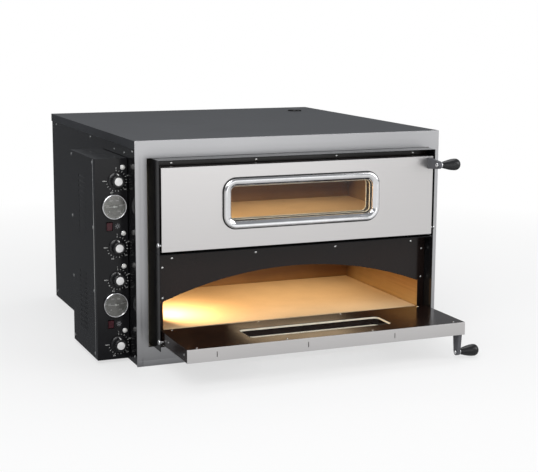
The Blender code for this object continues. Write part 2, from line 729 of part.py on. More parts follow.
def make_door_bezel(name, axis):
    """Raised polished frame round the window."""
    face = -PIVOT_DEPTH - GAP
    depth = BEZEL_HEIGHT
    middle = (0.0, face - depth / 2, window_height())
    outer = (WINDOW_WIDTH + 2 * BEZEL_WIDTH, depth, WINDOW_TALL + 2 * BEZEL_WIDTH)
    bezel = rounded_tool(name + "_bezel_block", middle, outer, WINDOW_CORNER + BEZEL_WIDTH * 0.6, axis)
    bezel.name = name + "_window_bezel"
    CUTTERS.objects.unlink(bezel)
    PARTS.objects.link(bezel)
    bezel.hide_render = False
    bezel.display_type = "TEXTURED"
    bezel.data.materials.append(CHROME)
    bm = bmesh.new()
    bm.from_mesh(bezel.data)
    rim = [edge for edge in bm.edges if all(vert.co.y < face - depth * 0.9 for vert in edge.verts)]
    bmesh.ops.bevel(bm, geom=rim, offset=depth * 0.6, segments=2, profile=0.5, affect="EDGES")
    bm.to_mesh(bezel.data)
    bm.free()
    hole = rounded_tool(name + "_bezel_hole", middle, (WINDOW_WIDTH, 4 * depth, WINDOW_TALL),
                        WINDOW_CORNER, axis)
    return boolean(bezel, hole)


def handle_place():
    """X, Y and Z of a handle's grip axis about the door's pivot, at the arm's middle."""
    return (DOOR_HALF - HANDLE_SIDE_INSET - ARM_THICK / 2, -PIVOT_DEPTH - HANDLE_REACH,
            -PIVOT_HEIGHT + DOOR_HEIGHT - HANDLE_EDGE_DROP)


def make_handle_arm(name, axis):
    """Tapered lever arm standing out from the door, with a boss for the grip."""
    x, y, z = handle_place()
    root = -PIVOT_DEPTH - GAP
    bm = bmesh.new()
    add_cube(bm, (x - ARM_THICK / 2, y, z - ARM_ROOT), (x + ARM_THICK / 2, root, z + ARM_ROOT))
    for vert in bm.verts:
        if vert.co.y < (y + root) / 2:
            vert.co.z = z + (ARM_TIP if vert.co.z > z else -ARM_TIP)
    arm = add_object(name + "_handle_arm", mesh_from(bm, name), BLACK_PAINT, axis)
    boss = rod_tool(name + "_arm_boss", [((x, y, z), ARM_THICK)], ARM_TIP, "X", axis, SMALL_STEPS)
    return boolean(arm, boss, "UNION")


def make_handle_grip(name, axis):
    """Pear-shaped grip that points sideways from the arm's end."""
    x, y, z = handle_place()
    grip = turned(name + "_handle_grip", [
        (0.0, GRIP_LENGTH), (GRIP_RADIUS * 0.55, GRIP_LENGTH * 0.985),
        (GRIP_RADIUS * 0.85, GRIP_LENGTH * 0.92), (GRIP_RADIUS, GRIP_LENGTH * 0.78), (GRIP_RADIUS * 0.98, GRIP_LENGTH * 0.60),
        (GRIP_RADIUS * 0.82, GRIP_LENGTH * 0.32), (GRIP_RADIUS * 0.55, GRIP_LENGTH * 0.08),
        (GRIP_RADIUS * 0.50, 0.0), (0.0, 0.0)], ROUND_STEPS, BLACK_PLASTIC, axis)
    grip.rotation_euler = (0.0, pi / 2, 0.0)
    grip.location = (x + ARM_THICK / 2 + GAP, y, z)
    return grip


def make_door(deck, opened):
    """All pieces of one door, hung on its axis."""
    axis = door_axis(deck, opened)
    name = deck.name + "_door"
    make_door_outer(name, axis)
    make_door_inner(name, axis)
    make_door_glass(name, axis)
    make_door_bezel(name, axis)
    make_handle_arm(name, axis)
    make_handle_grip(name, axis)

# ---------------------------------------------------------------- controls


def control_points(column, heights):
    """Panel places in one column, for the lower and then the upper deck."""
    places = {}
    for number, deck in enumerate(DECKS):
        for key, height in heights.items():
            places[deck.name + key] = (-HALF_WIDTH - column, height + number * CONTROL_PITCH)
    return places


KNOB_PLACES = control_points(KNOB_COLUMN, dict(zip(("_floor", "_roof"), KNOB_HEIGHTS)))
PILOT_PLACES = control_points(PILOT_COLUMN, dict(zip(("_floor", "_roof"), PILOT_HEIGHTS)))
GAUGE_PLACES = control_points(GAUGE_COLUMN, {"": GAUGE_HEIGHT})
SWITCH_PLACES = control_points(SWITCH_COLUMN, {"": SWITCH_HEIGHT})


def make_control_housing():
    """Housing on the oven's left side, open to the front and to the oven, with louvres."""
    housing = boxes("control_housing", [
        ((BOX_OUTER, HOUSING_FRONT, BOX_BOTTOM), (BOX_INNER, BOX_REAR, BOX_TOP))], BLACK_PAINT)
    hollow = box_tool("housing_hollow", [
        ((BOX_OUTER + SHEET, HOUSING_FRONT - OVERCUT, BOX_BOTTOM + SHEET),
         (BOX_INNER + OVERCUT, BOX_REAR - SHEET, BOX_TOP - SHEET))])
    boolean(housing, hollow)
    slots = []
    middle_y = (HOUSING_FRONT + BOX_REAR) / 2
    for bank in (-1, 1):
        bank_z = (BOX_BOTTOM + BOX_TOP) / 2 + bank * CONTROL_PITCH / 2
        for index in range(LOUVRE_COUNT):
            z = bank_z + (index - (LOUVRE_COUNT - 1) / 2) * LOUVRE_PITCH
            slots.append(((BOX_OUTER - OVERCUT, middle_y - LOUVRE_SIZE.x / 2, z - LOUVRE_SIZE.y / 2),
                          (BOX_OUTER + OVERCUT, middle_y + LOUVRE_SIZE.x / 2, z + LOUVRE_SIZE.y / 2)))
    boolean(housing, box_tool("housing_louvres", slots))
    drill = rod_tool("gland_hole", [((gland_x(), BOX_REAR, GLAND_HEIGHT), 6 * SHEET)],
                     GLAND_RADIUS * 0.75 + RUNNING_CLEARANCE, "Y")
    return boolean(housing, drill)


def gland_x():
    """Cable gland's axis across the housing."""
    return (BOX_OUTER + BOX_INNER) / 2


def make_control_panel():
    """Front panel of the housing, drilled for every control."""
    rear = PANEL_FACE + PANEL_RETURN
    panel = boxes("control_panel", [((BOX_OUTER, PANEL_FACE, BOX_BOTTOM), (BOX_INNER, rear, BOX_TOP))],
                  BLACK_PAINT)
    hollow = box_tool("panel_hollow", [
        ((BOX_OUTER + SHEET, PANEL_FACE + SHEET, BOX_BOTTOM + SHEET),
         (BOX_INNER + OVERCUT, rear + OVERCUT, BOX_TOP - SHEET))])
    boolean(panel, hollow)
    for label, places, radius in (
            ("spindle", KNOB_PLACES, SPINDLE_RADIUS), ("pilot", PILOT_PLACES, PILOT_RADIUS * 0.8),
            ("gauge", GAUGE_PLACES, GAUGE_BODY_RADIUS)):
        drills = [((x, PANEL_FACE, z), 4 * SHEET) for x, z in places.values()]
        boolean(panel, rod_tool(label + "_holes", drills, radius + RUNNING_CLEARANCE, "Y",
                                steps=SMALL_STEPS if label != "gauge" else ROUND_STEPS))
    half = SWITCH_SIZE / 2 + Vector((SWITCH_CLEARANCE, 0.0, SWITCH_CLEARANCE))
    ways = []
    for x, z in SWITCH_PLACES.values():
        ways.append(((x - half.x, PANEL_FACE - OVERCUT, z - half.z),
                     (x + half.x, PANEL_FACE + OVERCUT, z + half.z)))
    return boolean(panel, box_tool("switch_ways", ways))


def make_knob(label, x, z):
    """Thermostat knob with its spindle, a skirt and a pointer rib."""
    front = KNOB_LENGTH
    cap = KNOB_RADIUS * 0.62
    knob = turned(label + "_knob", [
        (0.0, front + 0.0015), (cap * 0.8, front + 0.0013), (cap, front),
        (KNOB_RADIUS * 0.88, front - 0.0015), (KNOB_RADIUS, front - 0.004), (KNOB_RADIUS * 1.06, 0.003), (KNOB_RADIUS * KNOB_SKIRT, 0.0018),
        (KNOB_RADIUS * KNOB_SKIRT, 0.0), (SPINDLE_RADIUS, 0.0), (SPINDLE_RADIUS, -SPINDLE_LENGTH),
        (0.0, -SPINDLE_LENGTH)], ROUND_STEPS, BLACK_PLASTIC)
    facing_front(knob, x, PANEL_FACE - KNOB_STANDOFF, z)
    axis = bpy.data.objects.new(label + "_knob_axis", None)
    CUTTERS.objects.link(axis)
    facing_front(axis, x, PANEL_FACE - KNOB_STANDOFF, z)
    rib = box_tool(label + "_knob_rib", [
        ((-KNOB_POINTER.x / 2, KNOB_RADIUS * 0.5, 0.004),
         (KNOB_POINTER.x / 2, KNOB_RADIUS + KNOB_POINTER.y, front - 0.003))], axis)
    return boolean(knob, rib, "UNION")


def make_thermostat(label, x, z):
    """Thermostat behind the panel, bored for its knob's spindle."""
    size = THERMOSTAT_SIZE
    front = PANEL_FACE + SHEET + THERMOSTAT_STANDOFF
    body = box(label + "_thermostat", (x - size.x / 2, front, z - size.z / 2),
               (x + size.x / 2, front + size.y, z + size.z / 2), GREY_PLASTIC)
    drill = rod_tool(label + "_spindle_bore", [((x, front, z), 2 * SPINDLE_LENGTH)],
                     SPINDLE_RADIUS + RUNNING_CLEARANCE, "Y", steps=SMALL_STEPS)
    return boolean(body, drill)


def make_pilot(label, x, z):
    """White pilot lamp whose shank goes through the panel."""
    shank = PILOT_RADIUS * 0.8
    pilot = turned(label + "_pilot_lamp", [
        (0.0, PILOT_PROUD), (PILOT_RADIUS * 0.7, PILOT_PROUD * 0.9),
        (PILOT_RADIUS * 0.95, PILOT_PROUD * 0.45), (PILOT_RADIUS, GAP), (shank, GAP), (shank, PILOT_PROUD - PILOT_LENGTH),
        (0.0, PILOT_PROUD - PILOT_LENGTH)], SMALL_STEPS, WHITE_LENS)
    return facing_front(pilot, x, PANEL_FACE, z)


def make_gauge(label, x, z):
    """Thermometer: a cup with a bright rim, its dial as the cup's floor."""
    mouth = GAUGE_RADIUS - GAUGE_RIM
    dial = GAUGE_PROUD - DIAL_DEPTH
    case = turned(label + "_gauge_case", [
        (0.0, dial), (mouth, dial), (mouth, GAUGE_PROUD), (GAUGE_RADIUS - 0.001, GAUGE_PROUD),
        (GAUGE_RADIUS, GAUGE_PROUD * 0.6), (GAUGE_RADIUS, GAP), (GAUGE_BODY_RADIUS, GAP),
        (GAUGE_BODY_RADIUS, -GAUGE_BODY_DEPTH), (0.0, -GAUGE_BODY_DEPTH)], GAUGE_STEPS, CHROME)
    facing_front(case, x, PANEL_FACE, z)
    glass_low = GAUGE_PROUD - 0.0022
    glass = turned(label + "_gauge_glass", [
        (0.0, GAUGE_PROUD - 0.0006), (mouth - GAP, GAUGE_PROUD - 0.0010), (mouth - GAP, glass_low),
        (0.0, glass_low)], GAUGE_STEPS, CLEAR_GLASS)
    facing_front(glass, x, PANEL_FACE, z)
    needle_level = dial + GAP
    bm = bmesh.new()
    add_cube(bm, (-NEEDLE_LENGTH, -NEEDLE_HALF_WIDTH, needle_level + 0.0008),
             (NEEDLE_TAIL, NEEDLE_HALF_WIDTH, needle_level + 0.0018))
    for vert in bm.verts:
        if vert.co.x < 0:
            vert.co.y *= 0.35
    needle = add_object(label + "_gauge_needle", mesh_from(bm, label), BLACK_PLASTIC)
    facing_front(needle, x, PANEL_FACE, z)
    hub = rod_tool(label + "_needle_hub", [((0.0, 0.0, needle_level + 0.0011), 0.0022)],
                   NEEDLE_HUB_RADIUS, "Z", needle, SMALL_STEPS)
    boolean(needle, hub, "UNION")


def make_switch(label, x, z):
    """Red rocker that tips about its middle."""
    half = SWITCH_SIZE / 2
    rocker = boxes(label + "_light_switch", [((-half.x, -half.y * 0.5, -half.z), (half.x, half.y, half.z))],
                   RED_LENS)
    bm = bmesh.new()
    bm.from_mesh(rocker.data)
    for vert in bm.verts:
        if vert.co.y > 0:
            vert.co.z *= 0.7
    bmesh.ops.bevel(bm, geom=list(bm.edges), offset=0.0007, segments=1, profile=0.5, affect="EDGES")
    bm.to_mesh(rocker.data)
    bm.free()
    rocker.location = (x, PANEL_FACE + SHEET / 2, z)
    rocker.rotation_euler = (SWITCH_TILT, 0.0, 0.0)
    return rocker


def make_terminal_block():
    """Terminal block on the housing's rear wall."""
    x = gland_x()
    z = GLAND_HEIGHT + TERMINAL_RISE
    rear = BOX_REAR - SHEET - GAP
    size = TERMINAL_SIZE
    return box("terminal_block", (x - size.x / 2, rear - size.y, z - size.z / 2),
               (x + size.x / 2, rear, z + size.z / 2), GREY_PLASTIC)


def make_cable_gland():
    """Gland in the housing's rear wall, open right through."""
    thread = GLAND_RADIUS * 0.75
    inside = -SHEET - GLAND_THREAD
    gland = turned("cable_gland", [
        (GLAND_BORE, GLAND_REACH), (GLAND_RADIUS * 0.8, GLAND_REACH),
        (GLAND_RADIUS, GLAND_REACH * 0.75), (GLAND_RADIUS, GAP), (thread, GAP), (thread, inside),
        (GLAND_BORE, inside), (GLAND_BORE, GLAND_REACH)],
        ROUND_STEPS, BLACK_PLASTIC)
    gland.rotation_euler = (-pi / 2, 0.0, 0.0)
    gland.location = (gland_x(), BOX_REAR, GLAND_HEIGHT)
    return gland

# ---------------------------------------------------------------- assembly

make_fascia()
make_top_cover()
make_vent_cap()
make_side_panel(-1)
make_side_panel(1)
make_rear_panel()
make_base_pan()
make_insulation_jacket()

for oven_deck in DECKS:
    make_surround(oven_deck)
    make_front_plate(oven_deck)
    make_liner(oven_deck)
    make_stone(oven_deck)
    make_element(oven_deck, "floor", bottom_element_height(oven_deck))
    make_element(oven_deck, "roof", top_element_height(oven_deck))
    make_chamber_lamp(oven_deck)
    make_hinge_rod(oven_deck)

make_door(DECKS[0], pi / 2)
make_door(DECKS[1], 0.0)

make_control_housing()
make_control_panel()
for control_label, (control_x, control_z) in KNOB_PLACES.items():
    make_knob(control_label, control_x, control_z)
    make_thermostat(control_label, control_x, control_z)
for control_label, (control_x, control_z) in PILOT_PLACES.items():
    make_pilot(control_label, control_x, control_z)
for control_label, (control_x, control_z) in GAUGE_PLACES.items():
    make_gauge(control_label, control_x, control_z)
for control_label, (control_x, control_z) in SWITCH_PLACES.items():
    make_switch(control_label, control_x, control_z)
make_terminal_block()
make_cable_gland()
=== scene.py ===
# %% [markdown]
# # A countertop pizza oven with two baking decks
# The oven is a folded steel casing round two brick-floored chambers, each behind a drop-down
# door with a window. The solids, their places and their hinges come from a frame that is already
# settled, so nothing here moves or resizes them. This lesson makes what the eye sees: rounded
# folds, turned knobs, screws, glass and the finish of every surface.

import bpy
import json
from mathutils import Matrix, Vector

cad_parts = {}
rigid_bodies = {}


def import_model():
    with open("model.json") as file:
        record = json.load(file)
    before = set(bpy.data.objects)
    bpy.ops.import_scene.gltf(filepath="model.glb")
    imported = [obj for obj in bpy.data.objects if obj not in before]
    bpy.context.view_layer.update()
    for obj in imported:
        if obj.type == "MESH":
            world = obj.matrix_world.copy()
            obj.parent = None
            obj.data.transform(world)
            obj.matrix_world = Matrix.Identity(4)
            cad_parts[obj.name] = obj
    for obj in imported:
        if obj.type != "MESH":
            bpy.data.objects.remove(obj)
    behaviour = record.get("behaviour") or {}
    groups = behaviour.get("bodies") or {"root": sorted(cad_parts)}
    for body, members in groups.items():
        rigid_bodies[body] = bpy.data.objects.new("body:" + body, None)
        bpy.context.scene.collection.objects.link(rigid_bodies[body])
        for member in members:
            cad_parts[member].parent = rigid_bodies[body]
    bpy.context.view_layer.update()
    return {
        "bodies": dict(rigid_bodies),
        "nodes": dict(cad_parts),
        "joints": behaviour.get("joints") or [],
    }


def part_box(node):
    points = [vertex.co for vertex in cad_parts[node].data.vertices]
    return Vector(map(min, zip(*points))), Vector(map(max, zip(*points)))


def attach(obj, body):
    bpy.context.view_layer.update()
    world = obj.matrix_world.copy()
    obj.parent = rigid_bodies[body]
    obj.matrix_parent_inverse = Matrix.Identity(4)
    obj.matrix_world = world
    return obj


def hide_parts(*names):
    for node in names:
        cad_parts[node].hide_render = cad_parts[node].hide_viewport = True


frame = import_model()

# %% Tools of the trade
import json
from math import cos, pi, radians, sin, sqrt, tau

import bmesh
import bpy
from mathutils import Matrix, Vector

MM = 0.001
print("sizes below are written in millimetres, times MM")

# %% [markdown]
# ## The camera
# The oven is seen from its front left corner, a little above the lid, through a long lens, so
# its edges stay nearly parallel. The camera stands about three and a half metres away and
# looks ten degrees down. Its place and aim are set first, because the light is judged
# through it.

# %% Camera
CAMERA_PLACE = Vector((-1.2048, -3.1249, 0.8107))
CAMERA_TURN = radians(-22.74)
CAMERA_DROP = radians(10.08)
CAMERA_ROLL = radians(0.31)

camera_data = bpy.data.cameras.new("studio_camera")
camera_data.lens = 85.48
camera_data.sensor_width = 36.0
camera_data.clip_end = 500.0
camera = bpy.data.objects.new("studio_camera", camera_data)
bpy.context.scene.collection.objects.link(camera)
camera.matrix_world = (
    Matrix.Translation(CAMERA_PLACE) @ Matrix.Rotation(CAMERA_TURN, 4, "Z")
    @ Matrix.Rotation(pi / 2 - CAMERA_DROP, 4, "X") @ Matrix.Rotation(CAMERA_ROLL, 4, "Z"))
bpy.context.scene.camera = camera
print("camera is", round(CAMERA_PLACE.length, 2), "m from the oven's base")

# %% [markdown]
# ## Writing a finish as sums
# A shader is a web of nodes, which is hard to read as a list of links. Wrapping a socket in a
# small class lets a finish be written as arithmetic: each operator adds one Math node. Every
# other node comes from a single method that takes its type, its settings and its sockets.

# %% Wires and finishes
class Wire:
    """What comes out of a node; arithmetic on it adds Math nodes."""

    def __init__(self, finish, socket):
        self.finish = finish
        self.socket = socket

    def maths(self, operation, first, second):
        return self.finish.node("ShaderNodeMath", {"operation": operation}, {0: first, 1: second})

    def __add__(self, other):
        return self.maths("ADD", self, other)

    def __mul__(self, other):
        return self.maths("MULTIPLY", self, other)

    def __sub__(self, other):
        return self.maths("SUBTRACT", self, other)

    def __rsub__(self, other):
        return self.maths("SUBTRACT", other, self)

    __radd__ = __add__
    __rmul__ = __mul__


class Finish:
    """One material: a Principled shader with fixed sockets, and the nodes that feed it."""

    def __init__(self, name, fixed):
        self.material = bpy.data.materials.new(name)
        self.material.use_nodes = True
        self.tree = self.material.node_tree
        self.shader = self.tree.nodes["Principled BSDF"]
        for socket, value in fixed.items():
            self.shader.inputs[socket].default_value = value
        self.place = self.node("ShaderNodeTexCoord", {}, {}, "Object")

    def node(self, kind, settings, sockets, output=0):
        made = self.tree.nodes.new(kind)
        for setting, value in settings.items():
            if setting == "stops":
                stops = made.color_ramp.elements
                for number, (position, colour) in enumerate(value):
                    stop = stops[number] if number < 2 else stops.new(position)
                    stop.position = position
                    stop.color = colour
            else:
                setattr(made, setting, value)
        for socket, value in sockets.items():
            if isinstance(value, Wire):
                self.tree.links.new(value.socket, made.inputs[socket])
            else:
                made.inputs[socket].default_value = value
        return Wire(self, made.outputs[output])

    def noise(self, scale, detail=2.0, stretch=(1, 1, 1)):
        """Soft noise with so many grains to the metre, drawn out along an axis by a low stretch."""
        place = self.node("ShaderNodeMapping", {}, {
            "Vector": self.place, "Scale": [scale * share for share in stretch]})
        return self.node("ShaderNodeTexNoise", {}, {"Vector": place, "Scale": 1.0, "Detail": detail})

    def spread(self, wire, low, high, start=0.3, end=0.7):
        """Stretch the values from start to end over low to high, and stop there."""
        return self.node("ShaderNodeMapRange", {"clamp": True}, {
            "Value": wire, "From Min": start, "From Max": end, "To Min": low, "To Max": high})

    def blend(self, factor, first, second):
        """Mix two colours."""
        return self.node("ShaderNodeMix", {"data_type": "RGBA"}, {0: factor, 6: first, 7: second}, 2)

    def along(self, axis):
        """The height, width or depth of a point."""
        return self.node("ShaderNodeSeparateXYZ", {}, {"Vector": self.place}, axis)

    def bump(self, height, strength, distance):
        return self.node("ShaderNodeBump", {}, {
            "Height": height, "Strength": strength, "Distance": distance}, "Normal")

    def feed(self, **wires):
        """Join wires to the shader; an underscore in a name stands for a space."""
        for socket, wire in wires.items():
            self.tree.links.new(wire.socket, self.shader.inputs[socket.replace("_", " ")])
        return self


def paint(red, green, blue):
    """A colour as a shader wants it."""
    return (red, green, blue, 1.0)


def shade(colour, share):
    """The same colour, lighter or darker."""
    return paint(*(min(1.0, part * share) for part in colour[:3]))


print("a finish starts from one Principled shader")

# %% [markdown]
# ## Brushed stainless steel
# The fascia and both doors are brushed along their length. The grain is noise drawn out
# along X, a few strokes to the metre one way and over a thousand the other, and it moves the
# colour, the gloss and a very shallow bump together. A second, broad noise stands for handling.

# %% Stainless
def brushed_steel(name, tone, gloss, stretch=(4, 1400, 1400)):
    steel = Finish(name, {"Metallic": 1.0})
    grain = steel.noise(1.0, 4.0, stretch)
    smudge = steel.noise(4.0, 3.0)
    light = steel.spread(grain * 0.6 + smudge * 0.4, 0.0, 1.0)
    steel.feed(
        Base_Color=steel.blend(light, shade(tone, 0.97), shade(tone, 1.02)),
        Roughness=steel.spread(grain * 0.5 + smudge * 0.5, gloss - 0.03, gloss + 0.05),
        Normal=steel.bump(grain, 0.05, 0.1 * MM))
    return steel


stainless = brushed_steel("stainless", paint(0.68, 0.665, 0.66), 0.30)
fascia_steel = brushed_steel("fascia_steel", paint(0.50, 0.50, 0.51), 0.32)
print("made", stainless.material.name, "and", fascia_steel.material.name)

# %% [markdown]
# ## Powder coat and enamel
# The casing is powder coated: a smooth plastic skin with a faint orange peel, dust in places
# and slightly uneven gloss. Three scales of noise give the peel, the dust and the unevenness.
# The plates round the chambers are enamelled instead, which is glassier, browner and has fine
# specks.

# %% Paints
def powder_coat(name, colour, gloss, peel, dust=0.02):
    coat = Finish(name, {"IOR": 1.33})
    skin = coat.noise(620.0, 2.0)
    cloud = coat.noise(7.0, 4.0)
    speck = coat.spread(coat.noise(1500.0, 1.0), 0.0, 1.0, 0.70, 0.80)
    base = coat.blend(coat.spread(cloud, 0.0, 1.0), shade(colour, 0.85), shade(colour, 1.2))
    coat.feed(
        Base_Color=coat.blend(speck * dust * 6, base, paint(0.30, 0.29, 0.28)),
        Roughness=coat.spread(cloud, gloss - 0.02, gloss + 0.03) + speck * dust,
        Normal=coat.bump(skin, peel, 0.12 * MM))
    return coat


def enamel(name, colour):
    glaze = Finish(name, {"IOR": 1.36, "Coat Roughness": 0.06})
    cloud = glaze.noise(9.0, 5.0)
    speck = glaze.spread(glaze.noise(900.0, 2.0), 0.0, 1.0, 0.66, 0.74)
    base = glaze.blend(glaze.spread(cloud, 0.0, 1.0), shade(colour, 0.75), shade(colour, 1.35))
    glaze.feed(
        Base_Color=glaze.blend(speck * 0.35, base, paint(0.10, 0.07, 0.05)),
        Roughness=glaze.spread(cloud, 0.13, 0.24),
        Coat_Weight=glaze.spread(cloud, 0.10, 0.0),
        Normal=glaze.bump(glaze.noise(160.0, 2.0), 0.05, 0.3 * MM))
    return glaze


lid_paint = powder_coat("lid_paint", paint(0.036, 0.038, 0.042), 0.42, 0.16)
black_paint = powder_coat("black_paint", paint(0.0075, 0.0075, 0.0085), 0.16, 0.04, 0.008)
black_enamel = enamel("black_enamel", paint(0.011, 0.006, 0.005))
print("three coatings made")

# %% [markdown]
# ## Plastics, chrome and print
# Knobs, grips and rockers are moulded plastic, which is never quite flat: a soft waviness and
# fine scuffs give it away. Chrome is almost a mirror, with a faint haze and hair scratches in
# its gloss and bump. The printed scales are ink, slightly uneven in cover.

# %% Small finishes
def moulded(name, colour, gloss, scuff=0.06):
    plastic = Finish(name, {"IOR": 1.47})
    wave = plastic.noise(70.0, 3.0)
    scuffs = plastic.noise(1.0, 3.0, (400, 2600, 900))
    plastic.feed(
        Base_Color=plastic.blend(plastic.spread(wave, 0.0, 1.0), shade(colour, 0.88), shade(colour, 1.12)),
        Roughness=plastic.spread(wave * 0.5 + scuffs * 0.5, gloss - scuff / 2, gloss + scuff),
        Normal=plastic.bump(wave * 0.7 + scuffs * 0.3, 0.06, 0.2 * MM))
    return plastic


def chromed(name, tone, gloss):
    chrome = Finish(name, {"Metallic": 1.0})
    haze = chrome.noise(40.0, 4.0)
    hairs = chrome.noise(1.0, 2.0, (2200, 180, 1500))
    chrome.feed(
        Base_Color=chrome.blend(chrome.spread(haze, 0.0, 1.0), shade(tone, 0.96), shade(tone, 1.03)),
        Roughness=chrome.spread(haze * 0.5 + hairs * 0.5, gloss, gloss + 0.09),
        Normal=chrome.bump(hairs, 0.03, 0.1 * MM))
    return chrome


chrome = chromed("chrome", paint(0.82, 0.82, 0.83), 0.05)
zinc = chromed("zinc_plate", paint(0.78, 0.78, 0.77), 0.16)
black_plastic = moulded("black_plastic", paint(0.010, 0.010, 0.011), 0.26)
grey_plastic = moulded("grey_plastic", paint(0.30, 0.30, 0.31), 0.5)
white_print = moulded("white_print", paint(0.62, 0.62, 0.60), 0.5)
cap_white = moulded("cap_white", paint(0.80, 0.79, 0.78), 0.22)
cream_seal = moulded("cream_seal", paint(0.86, 0.80, 0.66), 0.45)
arm_grey = moulded("arm_grey", paint(0.085, 0.085, 0.095), 0.34)
red_lens = moulded("red_lens", paint(0.050, 0.006, 0.011), 0.24)
pilot_lens = moulded("pilot_lens", paint(0.78, 0.77, 0.74), 0.20)
print("ten small finishes made")

# %% [markdown]
# ## The window glass
# Clear heat-resistant glass lets the chamber's glow through and mirrors the room a little.
# Transmission is the same all over, so it is set on the socket. Only the gloss and a trace of
# colour vary, for the faint film that baking leaves.

# %% Glass
def clear_glass(name, film, ior):
    clear = paint(0.97, 0.985, 0.975)
    glass = Finish(name, {"Transmission Weight": 1.0, "IOR": ior, "Base Color": clear})
    haze = glass.noise(14.0, 4.0)
    glass.feed(
        Roughness=glass.spread(haze, 0.0, film),
        Base_Color=glass.blend(glass.spread(haze, 0.0, 1.0), clear, paint(0.93, 0.94, 0.92)))
    return glass


window_glass = clear_glass("window_glass", 0.03, 1.28)
dial_glass = clear_glass("dial_glass", 0.01, 1.40)
print("glass made")

# %% [markdown]
# ## Hearth stone, chamber steel and heaters
# The baking floor is pressed fireclay: sandy, pitted and toasted darker in patches. The
# chamber's sheet has heat-tint colours with painted shade: straw low down and in front, darkening
# to brown near the top heaters and on the rear wall, where the chamber's light falls off, so its
# colour follows the height above each deck's floor and the depth. The heaters are dull oxidised tubes.

# %% Baking surfaces
def fireclay(name, colour):
    clay = Finish(name, {"IOR": 1.3})
    sand = clay.noise(1100.0, 3.0)
    grog = clay.spread(clay.noise(420.0, 2.0), 0.0, 1.0, 0.62, 0.72)
    toast = clay.spread(clay.noise(8.0, 5.0), 0.0, 1.0, 0.42, 0.75)
    body = clay.blend(clay.spread(sand, 0.0, 1.0), shade(colour, 0.86), shade(colour, 1.12))
    body = clay.blend(toast * 0.35, body, shade(colour, 0.62))
    pits = clay.node("ShaderNodeTexVoronoi", {}, {"Vector": clay.place, "Scale": 160.0})
    clay.feed(
        Base_Color=clay.blend(grog * 0.5, body, shade(colour, 0.70)),
        Roughness=clay.spread(sand, 0.78, 0.95),
        Normal=clay.bump(sand * 0.6 + clay.spread(pits, 0.0, 1.0, 0.02, 0.25), 0.22, 0.5 * MM))
    return clay


def tinted_shaded_steel(name, floor, ceiling, rear):
    steel = Finish(name, {"Metallic": 0.85})
    drift = steel.noise(6.0, 4.0)
    grain = steel.noise(1.0, 4.0, (5, 5, 900))
    # painted shade: the colour darkens with the height above the deck's floor and near the rear wall,
    # standing for the dimmer light at the chamber's top and back
    level = steel.spread(steel.along("Z") + drift * 0.04 - 0.02, 0.0, 1.0, floor, ceiling)
    level = level + steel.spread(steel.along("Y"), 0.0, 0.45, rear - 60 * MM, rear - 5 * MM)
    tint_and_shade = steel.node("ShaderNodeValToRGB", {"stops": [
        (0.0, paint(0.66, 0.48, 0.24)), (1.0, paint(0.06, 0.036, 0.028)),
        (0.38, paint(0.44, 0.27, 0.12)), (0.62, paint(0.17, 0.095, 0.05))]}, {"Fac": level})
    steel.feed(
        Base_Color=steel.blend(steel.spread(grain, 0.0, 0.25), tint_and_shade, paint(0.12, 0.085, 0.06)),
        Roughness=steel.spread(drift * 0.5 + grain * 0.5, 0.34, 0.52),
        Normal=steel.bump(grain, 0.08, 0.1 * MM))
    return steel


fire_stone = fireclay("fire_stone", paint(0.68, 0.50, 0.30))
element_steel = brushed_steel("element_steel", paint(0.13, 0.115, 0.10), 0.50, (300, 300, 300))
mineral_wool = fireclay("mineral_wool", paint(0.55, 0.50, 0.40))
print("baking surfaces made")

# %% [markdown]
# ## Glowing lamps
# A halogen lamp behind a frosted lens lights each chamber. Its lens glows warm, brighter in the
# middle, where the bulb sits, so the emission colour falls off with the distance from the
# lens's own centre. A Mapping node brings the pattern's centre there.

# %% Lamp glow
def glowing(name, centre, radius):
    lens = Finish(name, {"Roughness": 0.35, "Emission Strength": 9.0, "Base Color": paint(0.9, 0.8, 0.6)})
    place = lens.node("ShaderNodeMapping", {}, {
        "Vector": lens.place, "Location": -centre / radius, "Scale": [1 / radius] * 3})
    distance = lens.node("ShaderNodeVectorMath", {"operation": "LENGTH"}, {0: place}, "Value")
    flutes = lens.noise(500.0, 2.0)
    fall = lens.spread(distance + flutes * 0.3, 1.0, 0.0, 0.2, 1.3)
    lens.feed(
        Base_Color=lens.blend(fall, paint(0.75, 0.55, 0.30), paint(0.95, 0.85, 0.65)),
        Emission_Color=lens.blend(fall, paint(0.75, 0.34, 0.08), paint(1.0, 0.74, 0.36)))
    return lens


print("lamp glow ready")

# %% [markdown]
# ## Making a piece
# Every new piece goes the same way: its loose corners are merged, its faces are turned
# outwards, smooth shading is kept off sharp folds, and it is given a finish, a body to ride on
# and the solid that it stands for. One function does all of this and reports the result.

# %% Piece maker
MERGE = 0.001 * MM
SHARP = radians(30)


def new_piece(name, bm, body, finish, replaces=(), flat=False):
    """Turn a bmesh into a finished piece that rides on a body; a flat one keeps its sheets flat."""
    bmesh.ops.remove_doubles(bm, verts=bm.verts, dist=MERGE)
    bmesh.ops.recalc_face_normals(bm, faces=bm.faces)
    mesh = bpy.data.meshes.new(name)
    bm.to_mesh(mesh)
    bm.free()
    mesh.shade_smooth()
    mesh.set_sharp_from_angle(angle=SHARP)
    mesh.materials.append(finish.material)
    piece = bpy.data.objects.new(name, mesh)
    bpy.context.scene.collection.objects.link(piece)
    if flat:
        weighted = piece.modifiers.new("flat_sheets", "WEIGHTED_NORMAL")
        weighted.keep_sharp = True
    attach(piece, body)
    if replaces:
        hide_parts(*replaces)
    print(f"{name}: {len(mesh.polygons)} faces on {body}")
    return piece


